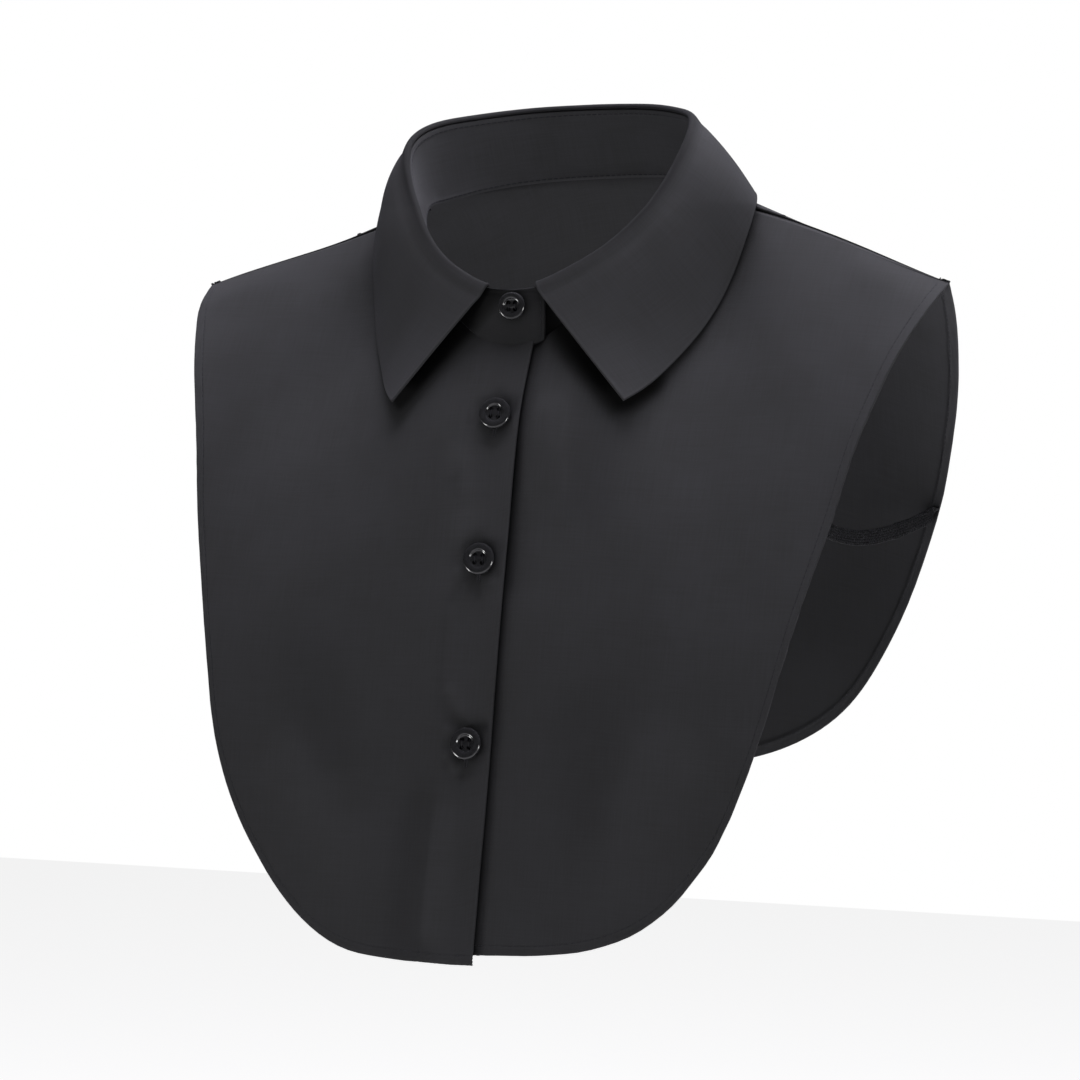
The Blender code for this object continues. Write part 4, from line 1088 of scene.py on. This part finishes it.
class COLLAR_OT_stand(bpy.types.Operator):
    """The collar stand with its lapping ends and edge stitching"""
    bl_idname = "collar.stand"
    bl_label = "Stand"

    def execute(self, context):
        outer, inner, out, uv, shade = stand_sheet(sizes()["band_wall"])
        out = np.broadcast_to(out[:, None], outer.shape)
        outer, inner = leaning(outer), leaning(inner)
        panel = shell_piece("stand_cloth", outer, inner, uv, cloth_look(), shade=shade)
        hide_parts("collar_stand")
        foot, head, end = 6, -8, 7
        ring = [(k, foot) for k in range(end, len(outer) - end)]
        ring += [(len(outer) - 1 - end, k) for k in range(foot, outer.shape[1] + head + 1)]
        pick = tuple(np.array(ring).T)
        rows = [(outer[pick], out[pick]), (inner[end:-end, foot], -out[end:-end, foot]),
                (inner[end:-end, head], -out[end:-end, head])]
        sewn = sew("stand_stitches", rows)
        return {"FINISHED"}


class COLLAR_OT_fall(bpy.types.Operator):
    """The turned-down fall with its two points"""
    bl_idname = "collar.fall"
    bl_label = "Fall"

    def execute(self, context):
        outer, inner, uv, shade = fall_sheet(sizes()["band_wall"] * 0.92)
        outer, inner = leaning(outer), leaning(inner)
        panel = shell_piece("fall_cloth", outer, inner, uv, cloth_look(), flip=True, shade=shade)
        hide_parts("collar_fall")
        return {"FINISHED"}


def hem_place(outer, inner, height):
    """Edge point, way out across the hem and way out of the cloth where a hem has a height."""
    z = outer[:, -1, 2]
    order = np.argsort(z)
    across, face = outer[:, -1] - outer[:, -9], outer[:, -9] - inner[:, -9]
    edge, across, face = (read_line(height, z[order], v[order]) for v in (outer[:, -1], across, face))
    return edge, unit(across), unit(face)


def elastic_line():
    """Middle line and way up of the strap in the wearer's left view."""
    m = sizes()
    outer, inner = front_sheet(1.0, m["cloth_wall"], m["hem_wall"])[:2]
    front = hem_place(outer[60:], inner[60:], ELASTIC_FRONT)
    outer, inner = back_sheet(m["cloth_wall"], m["hem_wall"])[:2]
    back = hem_place(outer[:BACK_RAYS], inner[:BACK_RAYS], ELASTIC_BACK)
    upright, rows, ups = np.array([0.0, 0.0, 1.0]), [], []
    for (edge, across, face), lap, end in zip((front, back), ELASTIC_LAP, ELASTIC_END):
        along = unit(np.cross(face, across))
        along = along * np.sign(along[2])
        rows.append([edge - across * d - face * (m["hem_wall"] + m["elastic_thick"] / 2 + ELASTIC_AIR)
                     for d in (lap, end)])
        ups.append([along, along])
    q = np.linspace(0.0, 1.0, 120)[1:-1, None]
    start, stop = rows[0][1], rows[1][1]
    from_low = (q - ELASTIC_LOW) / np.where(q < ELASTIC_LOW, ELASTIC_LOW, 1 - ELASTIC_LOW)
    free = start * (1 - q) + stop * q - upright * ELASTIC_SAG * (1 - from_low ** 2)
    knots = np.concatenate([rows[0], free, rows[1][::-1]])
    turns = np.concatenate([ups[0], np.repeat(upright[None], len(free), 0), ups[1]])
    reach = lengths(knots)
    s = np.arange(0.0, reach[-1], ELASTIC_STEP)
    middle, up = (soften(read_line(s, reach, v)) for v in (knots, turns))
    run = unit(np.gradient(middle, axis=0))
    up = square_to(run, up)
    return middle, up, unit(np.cross(run, up)), s


def soften(line):
    """Rounds the corners of a line of evenly spaced points."""
    kernel = np.hanning(2 * ELASTIC_TURN + 3)[1:-1]
    wide = np.pad(line, ((ELASTIC_TURN, ELASTIC_TURN), (0, 0)), "reflect", reflect_type="odd")
    return np.stack([np.convolve(wide[:, k], kernel / kernel.sum(), "valid") for k in range(3)], -1)


class COLLAR_OT_elastics(bpy.types.Operator):
    """The ribbed elastic straps between front and back hems"""
    bl_idname = "collar.elastics"
    bl_label = "Elastic straps"

    def execute(self, context):
        m, ribs = sizes(), context.scene.collar_sizes.elastic_ribs
        look = shared("elastic_braid", lambda: elastic_material(tuple(colours().elastic)))
        middle, up, out, s = elastic_line()
        v = np.linspace(-1.0, 1.0, 8 * ribs + 1)
        wide, thick = m["elastic_wide"] / 2, m["elastic_thick"] / 2
        rib = abs(np.cos(math.pi * ribs * (v + 1) / 2)) ** 0.6
        odd = np.where(np.floor((v + 1) * ribs / 2) % 2, 1, -1)
        cross = 0.07 * np.sin(2 * math.pi * s / 1.1)[:, None] * odd
        fat = thick * (0.62 + 0.3 * rib)[None] + cross * rib * thick * 4
        fat = fat * rounding((1 - abs(v)) * wide, 0.5)[None]
        wave = wander(s, 0.35, 17.0, 0.9)[:, None] * v[None]
        middle = middle[:, None] + up[:, None] * (v * wide)[None, :, None]
        middle = middle + out[:, None] * wave[..., None]
        uv = np.stack(np.broadcast_arrays(s[:, None], (v * wide)[None]), -1)
        for name, side in (("left", 1.0), ("right", -1.0)):
            flip = np.array([side, 1.0, 1.0])
            outer = leaning((middle + out[:, None] * fat[..., None]) * flip)
            inner = leaning((middle - out[:, None] * fat[..., None]) * flip)
            strap = shell_piece("elastic_%s_strap" % name, outer, inner, uv, look,
                                flip=side < 0)
            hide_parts("elastic_%s" % name)
        return {"FINISHED"}


# half section of a button from its back: (in from the rim, share of its height)
BUTTON_SECTION = (
    (2.5, 0.0), (1.1, 0.05), (0.35, 0.2), (0.0, 0.42), (0.05, 0.6), (0.2, 0.77), (0.5, 0.92),
    (0.95, 0.99), (1.6, 1.0), (2.3, 0.99), (2.7, 0.95), (2.95, 0.86), (3.1, 0.76), (3.3, 0.68),
    (3.65, 0.63), (4.6, DISH_FLOOR),
)
SECTION_WIDE = 13.2     # the width of button that it is drawn for
RIM_SOFT = 0.14         # the holes' and rims' edges are rounded over this width
STRAND, STRAND_APART = 0.13, 0.17     # a thread's radius, and its place beside the middle of its pair


def button_seat(across, height, turn):
    """Foot point and outward direction of a button whose face is turned a little to the side."""
    seam, top, slope = NECK_SEAM[0], STAND_TOP[0], 0.0
    if height > seam[2]:
        y = np.interp(height, (seam[2], top[2]), (seam[1], top[1]))
    else:
        z = height + np.array([3.0, 0.0, -3.0])
        above, y, below = front_y(np.zeros(3), z)
        slope = (above - below) / 6
    lift = unit(np.array([0.0, -1.0, slope])) * BUTTON_LIFT
    turn = math.radians(turn)
    return np.array([across, y, height]) + lift, unit(np.array([math.sin(turn), -math.cos(turn), slope]))


class COLLAR_OT_buttons(bpy.types.Operator):
    """The four-hole buttons with their thread"""
    bl_idname = "collar.buttons"
    bl_label = "Buttons"

    def execute(self, context):
        m = sizes()
        look = shared("button_resin", lambda: resin_material(tuple(colours().button)))
        for number, across, height, wide, turn in BUTTONS:
            obj = lathe_button("button_%d_disc" % number, wide, m["button_high"])
            drill_holes(obj, wide, m["hole_wide"])
            thread = sewn_cross("button_%d_thread" % number, wide, m)
            seat, face = button_seat(across, height, turn)
            for piece in (obj, thread):
                place_on_cloth(piece, seat, face, 0.06 * math.sin(3.1 * number))
            obj.data.materials.clear()
            obj.data.materials.append(look)
            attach(obj, "root")
            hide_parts("button_%d" % number)
        return {"FINISHED"}


def only(obj):
    """Selects one object alone."""
    bpy.ops.object.select_all(action="DESELECT")
    obj.select_set(True)
    bpy.context.view_layer.objects.active = obj


def lathe_button(name, wide, high):
    """A disc drawn up and in ring by ring along the button's section."""
    bpy.ops.object.select_all(action="DESELECT")
    scale = wide / SECTION_WIDE
    radius = [wide / 2 - inset * scale for inset, _ in BUTTON_SECTION]
    bpy.ops.mesh.primitive_circle_add(vertices=96, radius=radius[0] * MM, fill_type="NGON")
    obj = bpy.context.object
    obj.name = obj.data.name = name
    bpy.ops.object.mode_set(mode="EDIT")
    bpy.ops.mesh.select_all(action="SELECT")
    for k in range(1, len(BUTTON_SECTION)):
        rise = (BUTTON_SECTION[k][1] - BUTTON_SECTION[k - 1][1]) * high * MM
        bpy.ops.mesh.extrude_region_move(TRANSFORM_OT_translate={"value": (0.0, 0.0, rise)})
        share = radius[k] / radius[k - 1]
        bpy.ops.transform.resize(value=(share, share, 1.0), center_override=(0.0, 0.0, 0.0))
    bpy.ops.mesh.select_all(action="SELECT")
    bpy.ops.mesh.normals_make_consistent(inside=False)
    bpy.ops.object.mode_set(mode="OBJECT")
    return obj


def drill_holes(obj, wide, hole):
    """Four round thread holes with softened rims."""
    off = HOLE_OUT * wide * MM
    for x, y in ((-off, -off), (-off, off), (off, -off), (off, off)):
        bpy.ops.object.select_all(action="DESELECT")
        bpy.ops.mesh.primitive_cylinder_add(vertices=28, radius=hole / 2 * MM, depth=0.02,
                                            location=(x, y, 0.0))
        drill = bpy.context.object
        cut = obj.modifiers.new("hole", "BOOLEAN")
        cut.operation, cut.solver, cut.object = "DIFFERENCE", "EXACT", drill
        only(obj)
        bpy.ops.object.modifier_apply(modifier=cut.name)
        bpy.data.objects.remove(drill, do_unlink=True)
    soft = obj.modifiers.new("rims", "BEVEL")
    soft.width, soft.segments = RIM_SOFT * MM, 2
    soft.limit_method, soft.angle_limit = "ANGLE", math.radians(50)
    only(obj)
    bpy.ops.object.modifier_apply(modifier=soft.name)
    bpy.ops.object.shade_smooth_by_angle(angle=math.radians(35))


def sewn_cross(name, wide, m):
    """Strands through the holes: two bars over the dish, from hole to hole."""
    off, floor = HOLE_OUT * wide, m["button_high"] * DISH_FLOOR
    t, turns = np.linspace(-1.0, 1.0, 13), np.linspace(0, 2 * math.pi, 9)[:-1]
    verts, faces = [], []
    for x in (-off, off):
        for shift in (-STRAND_APART, STRAND_APART):
            z = floor + 0.1 - 1.3 * np.maximum(abs(t) - 0.6, 0.0) / 0.4 + 0.05 * np.cos(t * 2 + shift)
            line = np.stack([x + shift * (0.75 - 0.2 * t * t), t * off * 0.98, z], 1)
            run = unit(np.gradient(line, axis=0))
            side = np.broadcast_to(np.array([1.0, 0.0, 0.0]), run.shape)
            add_tube(verts, faces, [[p + STRAND * (a * math.cos(k) + b * math.sin(k)) for k in turns]
                                    for p, a, b in zip(line, side, np.cross(side, run))])
    return new_piece(name, verts, faces, thread_look())


def place_on_cloth(obj, seat, face, turn):
    """Moves a piece made flat at the origin onto its seat, turned a little about its own axis."""
    down = unit(np.cross(face, np.array([1.0, 0.0, 0.0])))
    right, c, s = np.cross(down, face), math.cos(turn), math.sin(turn)
    right, down = right * c + down * s, down * c - right * s
    co = np.empty(len(obj.data.vertices) * 3)
    obj.data.vertices.foreach_get("co", co)
    co = co.reshape(-1, 3)
    co = co[:, :1] * right + co[:, 1:2] * down + co[:, 2:] * face + seat * MM
    obj.data.vertices.foreach_set("co", co.reshape(-1))
    obj.data.update()


def camera_sees(tree):
    """The output that tells the camera's own rays from light's."""
    return add_node(tree, "LightPath"), "Is Camera Ray"


def lay_floor(colour):
    """A pale floor that glows a little, and more for the camera."""
    bpy.ops.object.select_all(action="DESELECT")
    bpy.ops.mesh.primitive_plane_add(size=FLOOR_SIZE, location=(0.0, 0.0, FLOOR_HEIGHT))
    floor = bpy.context.object
    floor.name = "floor"
    bpy.ops.object.mode_set(mode="EDIT")
    bpy.ops.mesh.select_all(action="SELECT")
    bpy.ops.mesh.subdivide(number_cuts=1)
    bpy.ops.object.mode_set(mode="OBJECT")
    pale, tree, shader = new_material("pale_paper", colour, 0.95, 0.0, 0.1)
    glow = add_node(tree, "MapRange",
                    {"Value": camera_sees(tree), "To Min": FLOOR_GLOW[0], "To Max": FLOOR_GLOW[1]})
    feed(shader, {"Emission Color": (*WHITE, 1.0), "Emission Strength": (glow, "Result")})
    floor.data.materials.append(pale)


def hang_backdrop(scene):
    """A world that is white for the camera and gives faint even light."""
    scene.world = bpy.data.worlds.new("studio")
    scene.world.use_nodes = True
    tree = scene.world.node_tree
    sky = tree.nodes["Background"]
    feed(sky, {"Color": (*WHITE, 1.0), "Strength": AMBIENT})
    paper = add_node(tree, "Background", {"Color": (*WHITE, 1.0), "Strength": 1.0})
    both = add_node(tree, "MixShader", {0: camera_sees(tree), 1: (sky, 0), 2: (paper, 0)})
    feed(tree.nodes["World Output"], {"Surface": (both, 0)})


def hang_lamps(scene):
    """The studio's soft lamps, and the small ones that only glint."""
    for name, place, size, power in LAMPS + GLINTS:
        lamp = bpy.data.lights.new(name, "AREA")
        lamp.size, lamp.energy = size, power
        lamp.color = OVER_TINT if "over" in name else WHITE
        obj = bpy.data.objects.new(name, lamp)
        obj.location = place
        obj.rotation_euler = (Vector(LAMP_AIM) - Vector(place)).to_track_quat("-Z", "Y").to_euler()
        obj.visible_diffuse, obj.visible_glossy = name.startswith("lamp"), name.startswith("glint")
        obj.visible_camera = False
        scene.collection.objects.link(obj)


def set_camera(scene):
    """The camera, a little to the wearer's left of straight ahead."""
    camera = bpy.data.objects.new("camera", bpy.data.cameras.new("camera"))
    scene.collection.objects.link(camera)
    azimuth, elevation = math.radians(VIEW_ROUND), math.radians(VIEW_UP)
    away = Vector((math.sin(azimuth) * math.cos(elevation), -math.cos(azimuth) * math.cos(elevation),
                   math.sin(elevation)))
    camera.location = Vector(VIEW_AT) * MM + away * VIEW_AWAY
    camera.rotation_euler = (-away).to_track_quat("-Z", "Y").to_euler()
    camera.data.sensor_width, camera.data.lens = FILM, LENS
    camera.data.clip_start, camera.data.clip_end = 0.05, 50.0
    scene.camera = camera
    scene.view_settings.view_transform = "Standard"


class COLLAR_OT_stage(bpy.types.Operator):
    """Pale floor, backdrop, studio lights and camera"""
    bl_idname = "collar.stage"
    bl_label = "Studio"

    def execute(self, context):
        lay_floor(tuple(colours().backdrop))
        for part in (hang_backdrop, hang_lamps, set_camera):
            part(context.scene)
        return {"FINISHED"}


class COLLAR_PT_panel(bpy.types.Panel):
    """Lists the collar's pieces and settings"""
    bl_idname = "COLLAR_PT_panel"
    bl_label = "Detachable collar"
    bl_space_type = "VIEW_3D"
    bl_region_type = "UI"
    bl_category = "Collar"

    def draw(self, context):
        scene = context.scene
        for group, kind in ((scene.collar_sizes, CollarSizes), (scene.collar_colours, CollarColours)):
            for key in kind.__annotations__:
                self.layout.prop(group, key)
        for operator in OPERATORS:
            self.layout.operator(operator.bl_idname)


OPERATORS = (COLLAR_OT_fronts, COLLAR_OT_back, COLLAR_OT_stand, COLLAR_OT_fall, COLLAR_OT_elastics,
             COLLAR_OT_buttons, COLLAR_OT_stage)
CLASSES = (CollarSizes, CollarColours) + OPERATORS + (COLLAR_PT_panel,)


def register():
    """Registers the classes and the settings."""
    for item in CLASSES:
        bpy.utils.register_class(item)
    bpy.types.Scene.collar_sizes = PointerProperty(type=CollarSizes)
    bpy.types.Scene.collar_colours = PointerProperty(type=CollarColours)


def unregister():
    """Removes the settings and the classes."""
    del bpy.types.Scene.collar_colours
    del bpy.types.Scene.collar_sizes
    for item in reversed(CLASSES):
        bpy.utils.unregister_class(item)


def main():
    """Registers the classes and builds every piece and the studio."""
    register()
    for operator in OPERATORS:
        group, name = operator.bl_idname.split(".")
        getattr(getattr(bpy.ops, group), name)()


if __name__ == "__main__":
    main()
